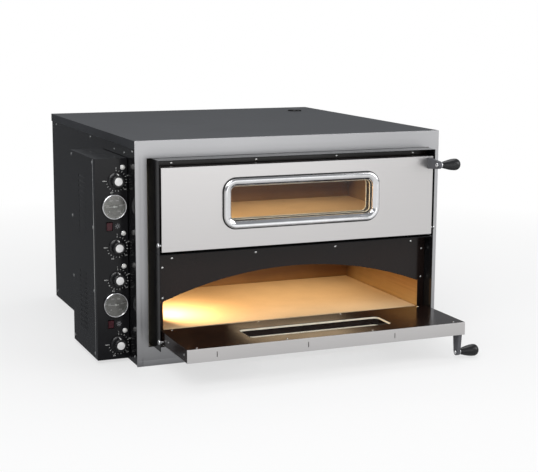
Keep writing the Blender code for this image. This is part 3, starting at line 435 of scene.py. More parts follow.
def soften(bm, width, sections=2, shortest=0.0):
    """Round the sharp edges of a closed form."""
    sharp = []
    for edge in bm.edges:
        if len(edge.link_faces) == 2 and edge.calc_face_angle() > SHARP and edge.calc_length() > shortest:
            sharp.append(edge)
    bmesh.ops.bevel(bm, geom=sharp, offset=width, segments=sections, profile=0.5,
                    affect="EDGES", material=-1)
    return bm


def plain_copy(node):
    """A node's form with its triangles joined back into flat faces."""
    bm = bmesh.new()
    bm.from_mesh(frame["nodes"][node].data)
    bmesh.ops.remove_doubles(bm, verts=bm.verts, dist=0.01 * MM)
    bmesh.ops.dissolve_limit(bm, angle_limit=radians(1), verts=bm.verts, edges=bm.edges)
    return bm


def softened(node, name, body, finish, width, sections=2, shortest=4 * MM):
    """A copy of a node with rounded edges, standing for it."""
    form = soften(plain_copy(node), width, sections, shortest)
    return new_piece(name, form, body, finish, [node], True)


print("merging within", MERGE, "m")

# %% [markdown]
# ## The casing
# Each casing part is one folded or sheared sheet, so its edges are never razor sharp: they
# catch a thin line of light. A copy of the solid with its edges bevelled gives that line. The
# stainless fascia also shows where its sheet was folded, as three fine grooves: one near each
# end and one along its foot.

# %% Fascia
FOLD_INSET = 13.7 * MM
FOLD_DEPTH = 0.7 * MM
FOLD_HALF = 1.0 * MM


def press_line(bm, normal, offset, face_y):
    """Press a fine groove into the front face, where a plane crosses it."""
    normal = Vector(normal)
    for shift in (-FOLD_HALF, 0.0, FOLD_HALF):
        front = [face for face in bm.faces
                 if face.normal.y < -0.99 and abs(face.calc_center_median().y - face_y) < FOLD_DEPTH]
        geometry = set(front)
        for face in front:
            geometry.update(face.edges)
            geometry.update(face.verts)
        bmesh.ops.bisect_plane(bm, geom=list(geometry), plane_co=normal * (offset + shift),
                               plane_no=normal)
    for vert in bm.verts:
        if abs(vert.co.dot(normal) - offset) < 0.02 * MM and abs(vert.co.y - face_y) < 0.02 * MM:
            vert.co.y += FOLD_DEPTH


fascia_low, fascia_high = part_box("fascia")
fascia_form = soften(plain_copy("fascia"), 0.6 * MM, 3, 4 * MM)
bmesh.ops.recalc_face_normals(fascia_form, faces=fascia_form.faces)
press_line(fascia_form, (1, 0, 0), fascia_low.x + FOLD_INSET, fascia_low.y)
press_line(fascia_form, (1, 0, 0), fascia_high.x - FOLD_INSET, fascia_low.y)
press_line(fascia_form, (0, 0, 1), fascia_low.z + FOLD_INSET, fascia_low.y)
new_piece("fascia_sheet", fascia_form, "cabinet", fascia_steel, ["fascia"], True)

# %% Lid, sides, rear and base
softened("top_cover", "lid_sheet", "cabinet", lid_paint, 0.65 * MM, 3)
for side in ("left", "right"):
    softened("side_panel_" + side, side + "_side_sheet", "cabinet", black_paint, 0.4 * MM)
softened("rear_panel", "rear_sheet", "cabinet", black_paint, 0.4 * MM, 2, 2 * MM)
softened("base_pan", "base_tray", "cabinet", black_paint, 0.5 * MM)

# %% [markdown]
# ## Turned pieces
# Knobs, caps, lamps, rims and grips are all turned: a profile of radius and height is spun
# about an axis, and its sharp rings are eased. Spinning with merge closes the seam, and points
# on the axis meet in one pole. A matrix then carries the form to its place.

# %% Spinning, and the vent cap
FACING = {
    "up": Matrix.Identity(4),
    "front": Matrix.Rotation(pi / 2, 4, "X"),
    "rear": Matrix.Rotation(-pi / 2, 4, "X"),
    "left": Matrix.Rotation(-pi / 2, 4, "Y"),
    "right": Matrix.Rotation(pi / 2, 4, "Y"),
}


def spun(profile, place, steps=48, ease=0.0):
    """Spin a profile of (radius, height) about +Z, ease its sharp rings and put it in place."""
    bm = bmesh.new()
    verts = [bm.verts.new((radius, 0.0, height)) for radius, height in profile]
    edges = [bm.edges.new(pair) for pair in zip(verts, verts[1:])]
    bmesh.ops.spin(bm, geom=verts + edges, cent=(0, 0, 0), axis=(0, 0, 1), angle=tau, steps=steps,
                   use_merge=True)
    bmesh.ops.remove_doubles(bm, verts=bm.verts, dist=MERGE)
    if ease:
        soften(bm, ease)
    bmesh.ops.transform(bm, matrix=place, verts=bm.verts)
    return bm


def middle(node):
    """The centre of a node's box."""
    low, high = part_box(node)
    return (low + high) / 2


cap_low, cap_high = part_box("vent_cap")
cap_radius = (cap_high.x - cap_low.x) / 2
lid_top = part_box("top_cover")[1].z
cap_rise = cap_high.z - lid_top
cap_place = Matrix.Translation((middle("vent_cap").x, middle("vent_cap").y, lid_top))
new_piece("vent_cap_turned", spun([
    (0.0, cap_rise), (cap_radius * 0.45, cap_rise * 0.98), (cap_radius * 0.8, cap_rise * 0.88),
    (cap_radius * 0.97, cap_rise * 0.62), (cap_radius, cap_rise * 0.3), (cap_radius, 0.3 * MM),
    (cap_radius * 0.5, 0.3 * MM), (cap_radius * 0.5, -4 * MM), (0.0, -4 * MM)], cap_place, ease=0.3 * MM),
    "cabinet", black_paint, ["vent_cap"])

# %% [markdown]
# ## Screws
# Bright pan-head screws hold the sheets. One head is turned, given a cross recess by two
# shallow cuts, and kept as a template of fewer than a hundred faces, because there are eighty
# of them. Rows of copies then become one piece for each sheet that they hold.

# %% A screw head
HEAD_RADIUS = 3.4 * MM
HEAD_HEIGHT = 1.7 * MM


def temporary(bm, name):
    """An object that only helps to make something else."""
    mesh = bpy.data.meshes.new(name)
    bm.to_mesh(mesh)
    bm.free()
    helper = bpy.data.objects.new(name, mesh)
    bpy.context.scene.collection.objects.link(helper)
    return helper


def as_shown(helper):
    """The mesh of a helper object with its modifiers applied; the helper goes."""
    shown = helper.evaluated_get(bpy.context.evaluated_depsgraph_get())
    mesh = bpy.data.meshes.new_from_object(shown)
    bpy.data.objects.remove(helper)
    return mesh


head = temporary(spun([
    (0.0, HEAD_HEIGHT), (HEAD_RADIUS * 0.5, HEAD_HEIGHT * 0.92), (HEAD_RADIUS * 0.85, HEAD_HEIGHT * 0.62),
    (HEAD_RADIUS, HEAD_HEIGHT * 0.2), (HEAD_RADIUS, -0.3 * MM), (0.0, -0.3 * MM)],
    Matrix.Identity(4), 12), "screw_head")
bars = []
for turn in (0.0, pi / 2):
    bar = bmesh.new()
    bmesh.ops.create_cube(bar, size=1.0, matrix=Matrix.Translation((0, 0, HEAD_HEIGHT)) @
                          Matrix.Rotation(turn, 4, "Z") @
                          Matrix.Diagonal((HEAD_RADIUS * 1.15, 0.8 * MM, 1.5 * MM, 1.0)))
    bars.append(temporary(bar, "recess_bar"))
    cut = head.modifiers.new("recess", "BOOLEAN")
    cut.operation = "DIFFERENCE"
    cut.object = bars[-1]
screw_head = as_shown(head)
for bar in bars:
    bpy.data.objects.remove(bar)
print("one screw head has", len(screw_head.polygons), "faces")


def screws(name, body, matrices, size=1.0, rise=None, twist=1.1):
    """One piece made of screw heads, each turned a little further than the one before."""
    bm = bmesh.new()
    for number, matrix in enumerate(matrices):
        copy = screw_head.copy()
        copy.transform(matrix @ Matrix.Rotation(number * twist, 4, "Z")
                       @ Matrix.Diagonal((size, size, rise or size, 1.0)))
        bm.from_mesh(copy)
        bpy.data.meshes.remove(copy)
    return new_piece(name, bm, body, zinc)


def screw_row(name, places, facing, size, rise=None):
    """Screws on the casing that all face the same way."""
    matrices = [Matrix.Translation(place) @ FACING[facing] for place in places]
    return screws(name, "cabinet", matrices, size, rise)


def evenly(start, end, count):
    """So many numbers from start to end, evenly apart."""
    return [start + (end - start) * number / (count - 1) for number in range(count)]


# %% Casing screws
SKIRT_SCREW_DROP = 26 * MM
NEAR_SCREW_DROP = SKIRT_SCREW_DROP + 9 * MM
FOOT_SCREW_RISE = 20 * MM
REAR_SCREW_EDGE = 12 * MM
SKIRT_ROW = evenly(-0.375, 0.349, 3)
NEAR_ROW = (-0.312, -0.230)
FOOT_ROW = evenly(-0.375, 0.375, 5)
for label, corner in (("left", 0), ("right", 1)):
    skin_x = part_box("side_panel_" + label)[corner].x
    places = [(skin_x, y, lid_top - SKIRT_SCREW_DROP) for y in SKIRT_ROW]
    places += [(skin_x, y, lid_top - NEAR_SCREW_DROP) for y in NEAR_ROW]
    places += [(skin_x, y, FOOT_SCREW_RISE) for y in FOOT_ROW]
    screw_row(label + "_side_screws", places, label, 0.9)
rear_low, rear_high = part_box("rear_panel")
rear_ends = (rear_low.x + REAR_SCREW_EDGE, rear_high.x - REAR_SCREW_EDGE)
rear_places = [(x, rear_high.y, z) for x in evenly(*rear_ends, 5)
               for z in (rear_low.z + REAR_SCREW_EDGE, rear_high.z - SKIRT_SCREW_DROP)]
rear_places += [(x, rear_high.y, middle("rear_panel").z) for x in rear_ends]
screw_row("rear_screws", rear_places, "rear", 0.85)

# %% [markdown]
# ## Surrounds and front plates
# A black folded hood with two cheeks frames each door, and a plate with an arched mouth stands
# just behind it. Both are thin sheet, so bevelled copies do. Screws hold the plates along
# their upper edge and beside the mouth, where they show as bright points in the shadow.

# %% Deck sheets
DECKS = ("lower", "upper")
PLATE_SCREW_DROP = {"lower": 13.7 * MM, "upper": 8.0 * MM}
PLATE_ROW = evenly(-0.308, 0.308, 4)
PLATE_SIDES = (-0.3312, 0.3385)
PLATE_RISES = (115 * MM, 186 * MM)
for deck in DECKS:
    softened(deck + "_surround", deck + "_hood", "cabinet", black_paint, 0.45 * MM)
    softened(deck + "_front_plate", deck + "_mouth_plate", "cabinet", black_enamel,
             0.5 * MM, 2, 1 * MM)
    plate_low, plate_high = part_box(deck + "_front_plate")
    plate_places = [(x, plate_low.y, plate_high.z - PLATE_SCREW_DROP[deck]) for x in PLATE_ROW]
    plate_places += [(x, plate_low.y, plate_low.z + rise) for x in PLATE_SIDES for rise in PLATE_RISES]
    screw_row(deck + "_plate_screws", plate_places, "front", 0.85)

# %% [markdown]
# ## Inside the chambers
# The liner keeps its solid form and takes its tinted finish with painted shade. The hearth stone
# gets rounded, slightly worn edges. The heaters are real tubes on a smooth path to and fro, so they
# are made as a curve with a round section, through points that a loop works out.

# %% Liner, stone and heaters
STONE_EASE = 1.6 * MM
SHADE_START = 30 * MM        # above the liner's foot, where its painted shade starts to darken the tint


def finish_node(node, finish):
    """Give a kept node its finish."""
    slots = frame["nodes"][node].data.materials
    slots.clear()
    slots.append(finish.material)
    print(node, "keeps its form, in", finish.material.name)


def heater_tube(name, node):
    """A tube to and fro across a node's box, with its two ends through the rear wall."""
    low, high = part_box(node)
    radius = (high.z - low.z) / 2
    height = (high.z + low.z) / 2
    runs = 8
    reach = high.x - radius
    spacing = 2 * reach / (runs - 1)
    bend = spacing / 2
    front_turn = low.y + radius + bend
    rear_turn = high.y - 40 * MM - bend
    curve = bpy.data.curves.new(name, "CURVE")
    curve.dimensions = "3D"
    curve.bevel_depth = radius
    curve.bevel_resolution = 4
    curve.use_fill_caps = True
    points = [(-reach, high.y)]
    for run in range(runs - 1):
        centre = -reach + (run + 0.5) * spacing
        forward = -1 if run % 2 == 0 else 1
        turn_y = front_turn if forward < 0 else rear_turn
        for step in range(13):
            angle = pi * step / 12
            points.append((centre - bend * cos(angle), turn_y + forward * bend * sin(angle)))
    points.append((reach, high.y))
    line = curve.splines.new("POLY")
    line.points.add(len(points) - 1)
    for point, (x, y) in zip(line.points, points):
        point.co = (x, y, height, 1.0)
    helper = bpy.data.objects.new(name, curve)
    bpy.context.scene.collection.objects.link(helper)
    bm = bmesh.new()
    bm.from_mesh(as_shown(helper))
    return new_piece(name, bm, "cabinet", element_steel, [node])


for deck in DECKS:
    liner_low, liner_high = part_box(deck + "_chamber_liner")
    # each deck's liner gets its own painted shade, darker towards its top and rear wall
    liner_shade = tinted_shaded_steel(deck + "_liner_tint", liner_low.z + SHADE_START, liner_high.z, liner_high.y)
    finish_node(deck + "_chamber_liner", liner_shade)
    softened(deck + "_hearth_stone", deck + "_baking_stone", "cabinet", fire_stone,
             STONE_EASE, 3)
    for place in ("floor", "roof"):
        heater_tube(f"{deck}_{place}_heater", f"{deck}_{place}_element")
finish_node("insulation_jacket", mineral_wool)

# %% [markdown]
# ## Chamber lamps
# A lamp sits in the left wall of each chamber, near the mouth. Its steel collar and its domed
# lens are two turned pieces. The lens glows, but two warm lights do the real lighting, which is
# much cleaner to render than a tiny bright mesh alone. They come last, with the studio's.

# %% Lamps
LAMP_COLLAR = 3.2 * MM
for deck in DECKS:
    lamp_low, lamp_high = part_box(deck + "_chamber_lamp")
    wall_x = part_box(deck + "_chamber_liner")[0].x + 1.5 * MM
    rim = (lamp_high.z - lamp_low.z) / 2
    lamp_axis = Vector((wall_x, (lamp_low.y + lamp_high.y) / 2, (lamp_low.z + lamp_high.z) / 2))
    lamp_place = Matrix.Translation(lamp_axis) @ FACING["right"]
    new_piece(deck + "_lamp_collar", spun([
        (rim - 5 * MM, 0.3 * MM), (rim, 0.3 * MM), (rim, LAMP_COLLAR * 0.6), (rim - 1.5 * MM, LAMP_COLLAR),
        (rim - 5 * MM, LAMP_COLLAR), (rim - 5 * MM, 0.3 * MM)], lamp_place, ease=0.4 * MM),
        "cabinet", chrome)
    lens_radius = rim - 5.3 * MM
    lens_profile = [(lens_radius * sin(angle), 1 * MM + 6.5 * MM * cos(angle))
                    for angle in evenly(0.0, pi / 2, 8)]
    barrel = lamp_low.x - wall_x
    lens_profile += [(lens_radius, barrel), (0.0, barrel)]
    new_piece(deck + "_lamp_lens", spun(lens_profile, lamp_place), "cabinet",
              glowing(deck + "_lamp_glow", lamp_axis, lens_radius), [deck + "_chamber_lamp"])

# %% [markdown]
# ## Hinge rods
# Each door turns on one steel rod through both cheeks, with a domed chrome head at each end.
# Half the profile is enough: the form is the same at both ends, so the list of points is
# followed by its own mirror image.

# %% Hinge rods
for deck in DECKS:
    rod_low, rod_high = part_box(deck + "_hinge_rod")
    head_radius = (rod_high.z - rod_low.z) / 2
    cheek_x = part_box(deck + "_surround")[1].x + 0.3 * MM
    dome = [(head_radius * sin(angle), cheek_x + (rod_high.x - cheek_x) * cos(angle) ** 0.7)
            for angle in evenly(0.0, pi / 2 - 0.02, 8)]
    half = dome + [(head_radius, cheek_x), (3 * MM, cheek_x)]
    profile = half + [(radius, -reach) for radius, reach in reversed(half)]
    rod_place = Matrix.Translation((0, (rod_low.y + rod_high.y) / 2, (rod_low.z + rod_high.z) / 2))
    new_piece(deck + "_pivot_bolts", spun(profile, rod_place @ FACING["right"], 32), "cabinet", chrome,
              [deck + "_hinge_rod"])

# %% [markdown]
# ## The doors
# Both doors are alike; the upper one is shut and the lower one lies open. Their new pieces are
# made once, shut and centred on the hinge, and a matrix puts them in place: the upper door's
# only moves them, and the lower door's also turns them a quarter turn about the hinge. Three
# short slits cut the upper fold of each skin, which faces you when the door is open.

# %% Door places
def door_matrix(deck):
    """From a shut door centred on its hinge to where the door is."""
    turn = Matrix.Rotation(pi / 2, 4, "X") if deck == "lower" else Matrix.Identity(4)
    pivot = middle(deck + "_hinge_rod")
    return Matrix.Translation((0.0, pivot.y, pivot.z)) @ turn


pivot_up = Vector((0.0, middle("upper_hinge_rod").y, middle("upper_hinge_rod").z))


def shut_box(node_end):
    """A door node's box about the hinge, with the door shut."""
    low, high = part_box("upper_door_" + node_end)
    return low - pivot_up, high - pivot_up


panel_low, panel_high = shut_box("outer_panel")
inner_low, inner_high = shut_box("inner_panel")
glass_high = shut_box("window_glass")[1]
bezel_low, bezel_high = shut_box("window_bezel")
print("door:", [round(size * 1000) for size in panel_high - panel_low], "mm")

# %% Door skins and panes
SLIT_START = -0.275
SLIT_PITCH = 0.2165
for deck in DECKS:
    door = deck + "_door"
    slits = bmesh.new()
    for number in range(3):
        centre = (SLIT_START + number * SLIT_PITCH, (panel_low.y + panel_high.y) / 2, panel_high.z)
        bmesh.ops.create_cube(slits, size=1.0, matrix=door_matrix(deck) @ Matrix.Translation(centre)
                              @ Matrix.Diagonal((1.8 * MM, 12 * MM, 4 * MM, 1)))
    slits = temporary(slits, "slits")
    skin = temporary(soften(plain_copy(door + "_outer_panel"), 0.55 * MM, 3, 4 * MM), "skin")
    cut = skin.modifiers.new("slits", "BOOLEAN")
    cut.object = slits
    form = bmesh.new()
    form.from_mesh(as_shown(skin))
    bpy.data.objects.remove(slits)
    new_piece(door + "_skin", form, door, stainless, [door + "_outer_panel"], True)
    softened(door + "_inner_panel", door + "_tray", door, black_enamel, 0.6 * MM, 3)
    softened(door + "_window_glass", door + "_pane", door, window_glass, 0.5 * MM)

# %% [markdown]
# ## The window frame
# The window's polished frame is a raised, rounded moulding with round corners. A flat plate
# whose corners are bevelled already has that outline, and insetting its face again and again,
# each time a little further in and up or down, draws the moulding's section all the way round.
# The same steps make a black ring round the frame, painted shade that stands for the dark line of
# shade round it, and the dark lining of the window's hole, the cream seal beside the glass and the
# cream lip at the hole's mouth.

# %% Frame, lining and seal
def rounded_plate(bm, width, height, corner, level, sections=10):
    """A flat face in the XZ plane, facing the front, with round corners."""
    made = bmesh.ops.create_grid(bm, x_segments=1, y_segments=1, size=0.5, matrix=FACING["front"])
    bmesh.ops.scale(bm, vec=(width, 1.0, height), verts=made["verts"])
    bmesh.ops.translate(bm, vec=(0.0, level, 0.0), verts=made["verts"])
    bmesh.ops.bevel(bm, geom=made["verts"], offset=corner, segments=sections, profile=0.5,
                    affect="VERTICES", material=-1)
    return [face for face in bm.faces if abs(face.calc_center_median().y - level) < MERGE][0]


def moulding(width, height, corner, level, section):
    """A closed frame whose section is given as steps inwards and outwards."""
    bm = bmesh.new()
    face = rounded_plate(bm, width, height, corner, level)
    if face.normal.y > 0:
        face.normal_flip()
    for inwards, outwards in section:
        bmesh.ops.inset_region(bm, faces=[face], thickness=inwards, depth=outwards, use_boundary=True,
                               use_even_offset=True)
    bmesh.ops.delete(bm, geom=[face], context="FACES_ONLY")
    bmesh.ops.bridge_loops(bm, edges=[edge for edge in bm.edges if edge.is_boundary])
    return bm


def section_steps(profile, width, rise):
    """Turn a section's points, as shares of its width and rise, into steps from one to the next."""
    return [((x2 - x1) * width, (y2 - y1) * rise)
            for (x1, y1), (x2, y2) in zip(profile, profile[1:])]


FRAME_SECTION = [(0.0, 0.0), (0.004, 0.30), (0.03, 0.60), (0.09, 0.84), (0.19, 0.96), (0.32, 1.0),
                 (0.46, 0.97), (0.60, 0.88), (0.74, 0.74), (0.86, 0.60), (0.93, 0.52), (0.97, 0.42),
                 (0.995, 0.30), (1.0, 0.0)]
TRIM_SECTION = [(0.0, 0.0), (0.001, -1.0), (1.0, -1.0), (1.001, 0.0)]
SHADE_RING_SECTION = [(0.0, 0.0), (0.03, 0.7), (0.2, 1.0), (0.99, 1.0), (1.0, 0.0)]
window_middle = (bezel_low.z + bezel_high.z) / 2
bezel_size = bezel_high - bezel_low
hole_width = 358 * MM
hole_height = 80 * MM
hole_corner = 14 * MM
frame_width = (bezel_size.x - hole_width) / 2
frame_corner = hole_corner + frame_width * 0.95
SHADE_RING_MARGIN = 2.5 * MM
for deck in DECKS:
    door = deck + "_door"
    at_window = door_matrix(deck) @ Matrix.Translation((0.0, 0.0, window_middle))
    form = moulding(bezel_size.x, bezel_size.z, frame_corner, bezel_high.y,
                    section_steps(FRAME_SECTION, frame_width, bezel_size.y))
    bmesh.ops.transform(form, matrix=at_window, verts=form.verts)
    new_piece(door + "_window_frame", form, door, chrome, [door + "_window_bezel"])
    # painted shade: a black ring just outside the frame stands in for the shade that falls round it
    shade_ring = moulding(bezel_size.x + 2 * SHADE_RING_MARGIN, bezel_size.z + 2 * SHADE_RING_MARGIN, frame_corner + SHADE_RING_MARGIN,
                   bezel_high.y, section_steps(SHADE_RING_SECTION, 4 * MM, 1.3 * MM))
    bmesh.ops.transform(shade_ring, matrix=at_window, verts=shade_ring.verts)
    new_piece(door + "_frame_bed", shade_ring, door, black_plastic)
    glass_face = glass_high.y + 0.4 * MM
    lip_face = inner_high.y - 4.4 * MM
    for name, inset, start, depth, finish, slot in (
            ("_window_tunnel", 0.3 * MM, glass_face, inner_high.y - glass_face, black_enamel, "black_enamel"),
            ("_window_seal", 1.4 * MM, glass_face, 5 * MM, cream_seal, "grey_plastic"),
            ("_window_lip", 1.4 * MM, lip_face, 3.8 * MM, cream_seal, "grey_plastic")):
        trim = moulding(hole_width - 2 * inset, hole_height - 2 * inset, hole_corner - inset,
                        start, section_steps(TRIM_SECTION, 1.0 * MM, depth))
        bmesh.ops.transform(trim, matrix=at_window, verts=trim.verts)
        new_piece(door + name, trim, door, finish)

# %% [markdown]
# ## Handles
# A tapered flat arm stands out from the door and carries a pear-shaped grip that points
# sideways. The arm is a four-cornered plate whose two outer corners are rounded and which is
# extruded and eased. The grip's radius follows a formula: a sine up to its widest place, then
# nearly an ellipse.

# %% Arm, grip and bolts
arm_low, arm_high = shut_box("handle_arm")
grip_low, grip_high = shut_box("handle_grip")
GRIP_SWELL = 0.74           # share of the grip's length where it is widest


def grip_radius(share, widest):
    """Radius of the pear-shaped grip, a share of the way along it."""
    if share < GRIP_SWELL:
        return widest * (0.47 + 0.53 * sin(pi / 2 * (share / GRIP_SWELL) ** 1.15))
    return widest * sqrt(max(0.0, 1.0 - ((share - GRIP_SWELL) / (1 - GRIP_SWELL)) ** 2.3))


def arm_form():
    """The tapered arm, about the hinge."""
    grip_z = (grip_low.z + grip_high.z) / 2
    grip_y = (grip_low.y + grip_high.y) / 2
    tip, root = 8.2 * MM, 13.5 * MM
    bm = bmesh.new()
    corners = [(grip_y - tip, -tip), (grip_y - tip, tip), (arm_high.y, root), (arm_high.y, -root)]
    verts = [bm.verts.new((arm_low.x, y, grip_z + z)) for y, z in corners]
    bm.faces.new(verts)
    bmesh.ops.bevel(bm, geom=verts[:2], offset=tip * 0.92, segments=10, profile=0.5,
                    affect="VERTICES", material=-1)
    grown = bmesh.ops.extrude_face_region(bm, geom=bm.faces[:])
    moved = [item for item in grown["geom"] if isinstance(item, bmesh.types.BMVert)]
    bmesh.ops.translate(bm, vec=(arm_high.x - arm_low.x, 0.0, 0.0), verts=moved)
    bmesh.ops.recalc_face_normals(bm, faces=bm.faces)
    return soften(bm, 0.9 * MM, 3), grip_y, grip_z


for deck in DECKS:
    door = deck + "_door"
    at_hinge = door_matrix(deck)
    arm, grip_y, grip_z = arm_form()
    bmesh.ops.transform(arm, matrix=at_hinge, verts=arm.verts)
    new_piece(door + "_lever", arm, door, arm_grey, [door + "_handle_arm"], True)
    widest = (grip_high.z - grip_low.z) / 2
    long = grip_high.x - grip_low.x
    outline = [(grip_radius(share, widest), long * share) for share in evenly(0.0, 1.0, 40)]
    axis = at_hinge @ Matrix.Translation((grip_low.x, grip_y, grip_z)) @ FACING["right"]
    new_piece(door + "_grip", spun([(0.0, 0.0)] + outline, axis, 48), door, black_plastic,
              [door + "_handle_grip"])
    bolt = spun([(0.0, 3.6 * MM), (2.6 * MM, 3.3 * MM), (4.4 * MM, 2.2 * MM), (5.2 * MM, 0.6 * MM),
                 (5.2 * MM, 0.0), (0.0, 0.0)],
                at_hinge @ Matrix.Translation((arm_low.x, grip_y, grip_z)) @ FACING["left"], 24)
    new_piece(door + "_grip_bolt", bolt, door, chrome)
    ferrule = spun([(4.2 * MM, -0.2 * MM), (7.4 * MM, -0.2 * MM), (7.4 * MM, 1.6 * MM), (6.6 * MM, 3.0 * MM),
                    (4.2 * MM, 3.0 * MM), (4.2 * MM, -0.2 * MM)], axis, 32, 0.3 * MM)
    new_piece(door + "_grip_ferrule", ferrule, door, chrome)

# %% [markdown]
# ## Small things on the doors
# Screws hold the inner tray of each door at its two sides and along the upper and lower edges
# of its back. They are the same heads as on the casing, and the door's matrix carries them.

# %% Screws on the doors
TRAY_ROW = evenly(-0.318, 0.318, 4)
TRAY_SCREW_EDGE = 9 * MM


def door_screws(name, deck, places, facing):
    """Screws at places about the hinge, carried to where the door is."""
    matrices = [door_matrix(deck) @ Matrix.Translation(place) @ FACING[facing] for place in places]
    return screws(f"{deck}_door_{name}_screws", deck + "_door", matrices, 0.75, twist=0.9)


side_y = (inner_low.y + inner_high.y) / 2
side_rows = [inner_low.z + share * (inner_high.z - inner_low.z) for share in (0.32, 0.90)]
tray_rows = (inner_low.z + TRAY_SCREW_EDGE, inner_high.z - TRAY_SCREW_EDGE)
for deck in DECKS:
    door_screws("left", deck, [(-inner_high.x, side_y, z) for z in side_rows], "left")
    door_screws("right", deck, [(inner_high.x, side_y, z) for z in side_rows], "right")
    door_screws("tray", deck, [(x, inner_high.y, z) for x in TRAY_ROW for z in tray_rows], "rear")

# %% [markdown]
# ## The control housing
# The housing is a folded box on the left side, with two banks of louvres. Behind each slot a
# curved lip guides the air, made by spinning one edge through seventy degrees and giving it
# thickness, and above each slot a rounded bead shows where the sheet was pressed outwards.
# Its outer face is set back by a little over a millimetre, so that the screw heads on it stay
# within the oven's overall width.

# %% Housing and panel
HOUSING_SETBACK = 1.2 * MM


def rounded_box(bm, centre, size, ease):
    """A box with rounded edges, inside an open bmesh."""
    place = Matrix.Translation(centre) @ Matrix.Diagonal((*size, 1.0))
    made = bmesh.ops.create_cube(bm, size=1.0, matrix=place)
    edges = {edge for vert in made["verts"] for edge in vert.link_edges}
    bmesh.ops.bevel(bm, geom=list(edges), offset=ease, segments=2, profile=0.5, affect="EDGES",
                    material=-1)


def set_back(bm, outer_x):
    """Move the outermost face of a form inwards a little."""
    for vert in bm.verts:
        if vert.co.x < outer_x + 0.1 * MM:
            vert.co.x += HOUSING_SETBACK
    return bm


housing_low, housing_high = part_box("control_housing")
control_low, control_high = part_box("control_panel")
for node, name in (("control_housing", "housing_shell"), ("control_panel", "control_face")):
    form = set_back(plain_copy(node), housing_low.x)
    new_piece(name, soften(form, 0.35 * MM, 2, 70 * MM), "cabinet", black_paint, [node], True)
outer_x = housing_low.x + HOUSING_SETBACK
housing_middle = middle("control_housing")

# %% Louvres
LOUVRE_LONG = 60 * MM
LOUVRE_TALL = 4 * MM
LOUVRE_PITCH = 12 * MM
LOUVRES = 12
LIP_RADIUS = 7 * MM
CONTROL_PITCH = 228.5 * MM
louvre_levels = [housing_middle.z + bank * CONTROL_PITCH / 2 + (number - (LOUVRES - 1) / 2) * LOUVRE_PITCH
                 for bank in (-1, 1) for number in range(LOUVRES)]
louvres = bmesh.new()
for level in louvre_levels:
    x = outer_x + 0.4 * MM
    z = level - LOUVRE_TALL / 2
    ends = [louvres.verts.new((x, housing_middle.y + side * LOUVRE_LONG / 2, z)) for side in (-1, 1)]
    lip = louvres.edges.new(ends)
    bmesh.ops.spin(louvres, geom=ends + [lip], cent=(x + LIP_RADIUS, 0, z), axis=(0, 1, 0),
                   angle=radians(70), steps=5)
bmesh.ops.recalc_face_normals(louvres, faces=louvres.faces)
bmesh.ops.solidify(louvres, geom=louvres.faces, thickness=0.5 * MM)
for level in louvre_levels:
    rounded_box(louvres, (outer_x - 0.1 * MM, housing_middle.y, level + LOUVRE_TALL / 2 + 0.8 * MM),
                (1.4 * MM, LOUVRE_LONG + 2 * MM, 1.5 * MM), 0.45 * MM)
new_piece("housing_louvres", louvres, "cabinet", black_paint)

# %% Housing screws and seam
row_z = evenly(housing_low.z + 12 * MM, housing_high.z - 10 * MM, 4)
screw_row("housing_screws",
          [(outer_x, y, z) for y in (housing_low.y + 5 * MM, housing_high.y - 8 * MM) for z in row_z],
          "left", 1.25, 0.66)
strip = bmesh.new()
seam_y = (control_high.y + housing_low.y) / 2
rounded_box(strip, (outer_x - 0.1 * MM, seam_y, housing_middle.z),
            (0.9 * MM, 2.2 * MM, housing_high.z - housing_low.z - 4 * MM), 0.3 * MM)
new_piece("housing_seam_strip", strip, "cabinet", zinc)

# %% [markdown]
# ## Knobs
# Each thermostat knob is a black body with a fluted grip, a wide skirt and a white cap. The
# flutes are pressed into the spun body: points on the grip move in wherever a cosine round the
# axis says so. The knob rides on its own body, so it turns with its shaft.

# %% Knob
panel_y = control_low.y
joint_place = {joint["child"]: Vector(joint["pos_m"]) for joint in frame["joints"]}
KNOB_RADIUS = 15 * MM
KNOB_LENGTH = 19 * MM
FLUTES = 18


def on_panel(x, z, standoff=0.0):
    """From a piece that faces +Z to its place on the control panel."""
    return Matrix.Translation((x, panel_y - standoff, z)) @ FACING["front"]


def knob_form():
    """The knob about its own axis: +Z is its face, +Y its pointer."""
    cap = KNOB_RADIUS * 0.64
    bm = spun([
        (0.0, KNOB_LENGTH - 0.6 * MM), (cap, KNOB_LENGTH - 0.6 * MM), (cap, KNOB_LENGTH),
        (KNOB_RADIUS * 0.84, KNOB_LENGTH), (KNOB_RADIUS * 0.93, KNOB_LENGTH - 1.2 * MM),
        (KNOB_RADIUS * 0.965, KNOB_LENGTH - 3 * MM), (KNOB_RADIUS * 1.03, 3.4 * MM),
        (KNOB_RADIUS * 1.20, 2.4 * MM), (KNOB_RADIUS * 1.27, 1.6 * MM), (KNOB_RADIUS * 1.27, 0.0),
        (3 * MM, 0.0), (3 * MM, -14 * MM), (0.0, -14 * MM)], Matrix.Identity(4), 144)
    for vert in bm.verts:
        around = vert.co.xy.length
        on_grip = 3 * MM < vert.co.z < KNOB_LENGTH - 2 * MM and around > KNOB_RADIUS * 0.9
        if on_grip:
            spoke = Vector((1, 0)).angle_signed(vert.co.xy)
            vert.co.xy *= 1 - 0.055 * max(0.0, cos(spoke * FLUTES)) ** 2
    return bm


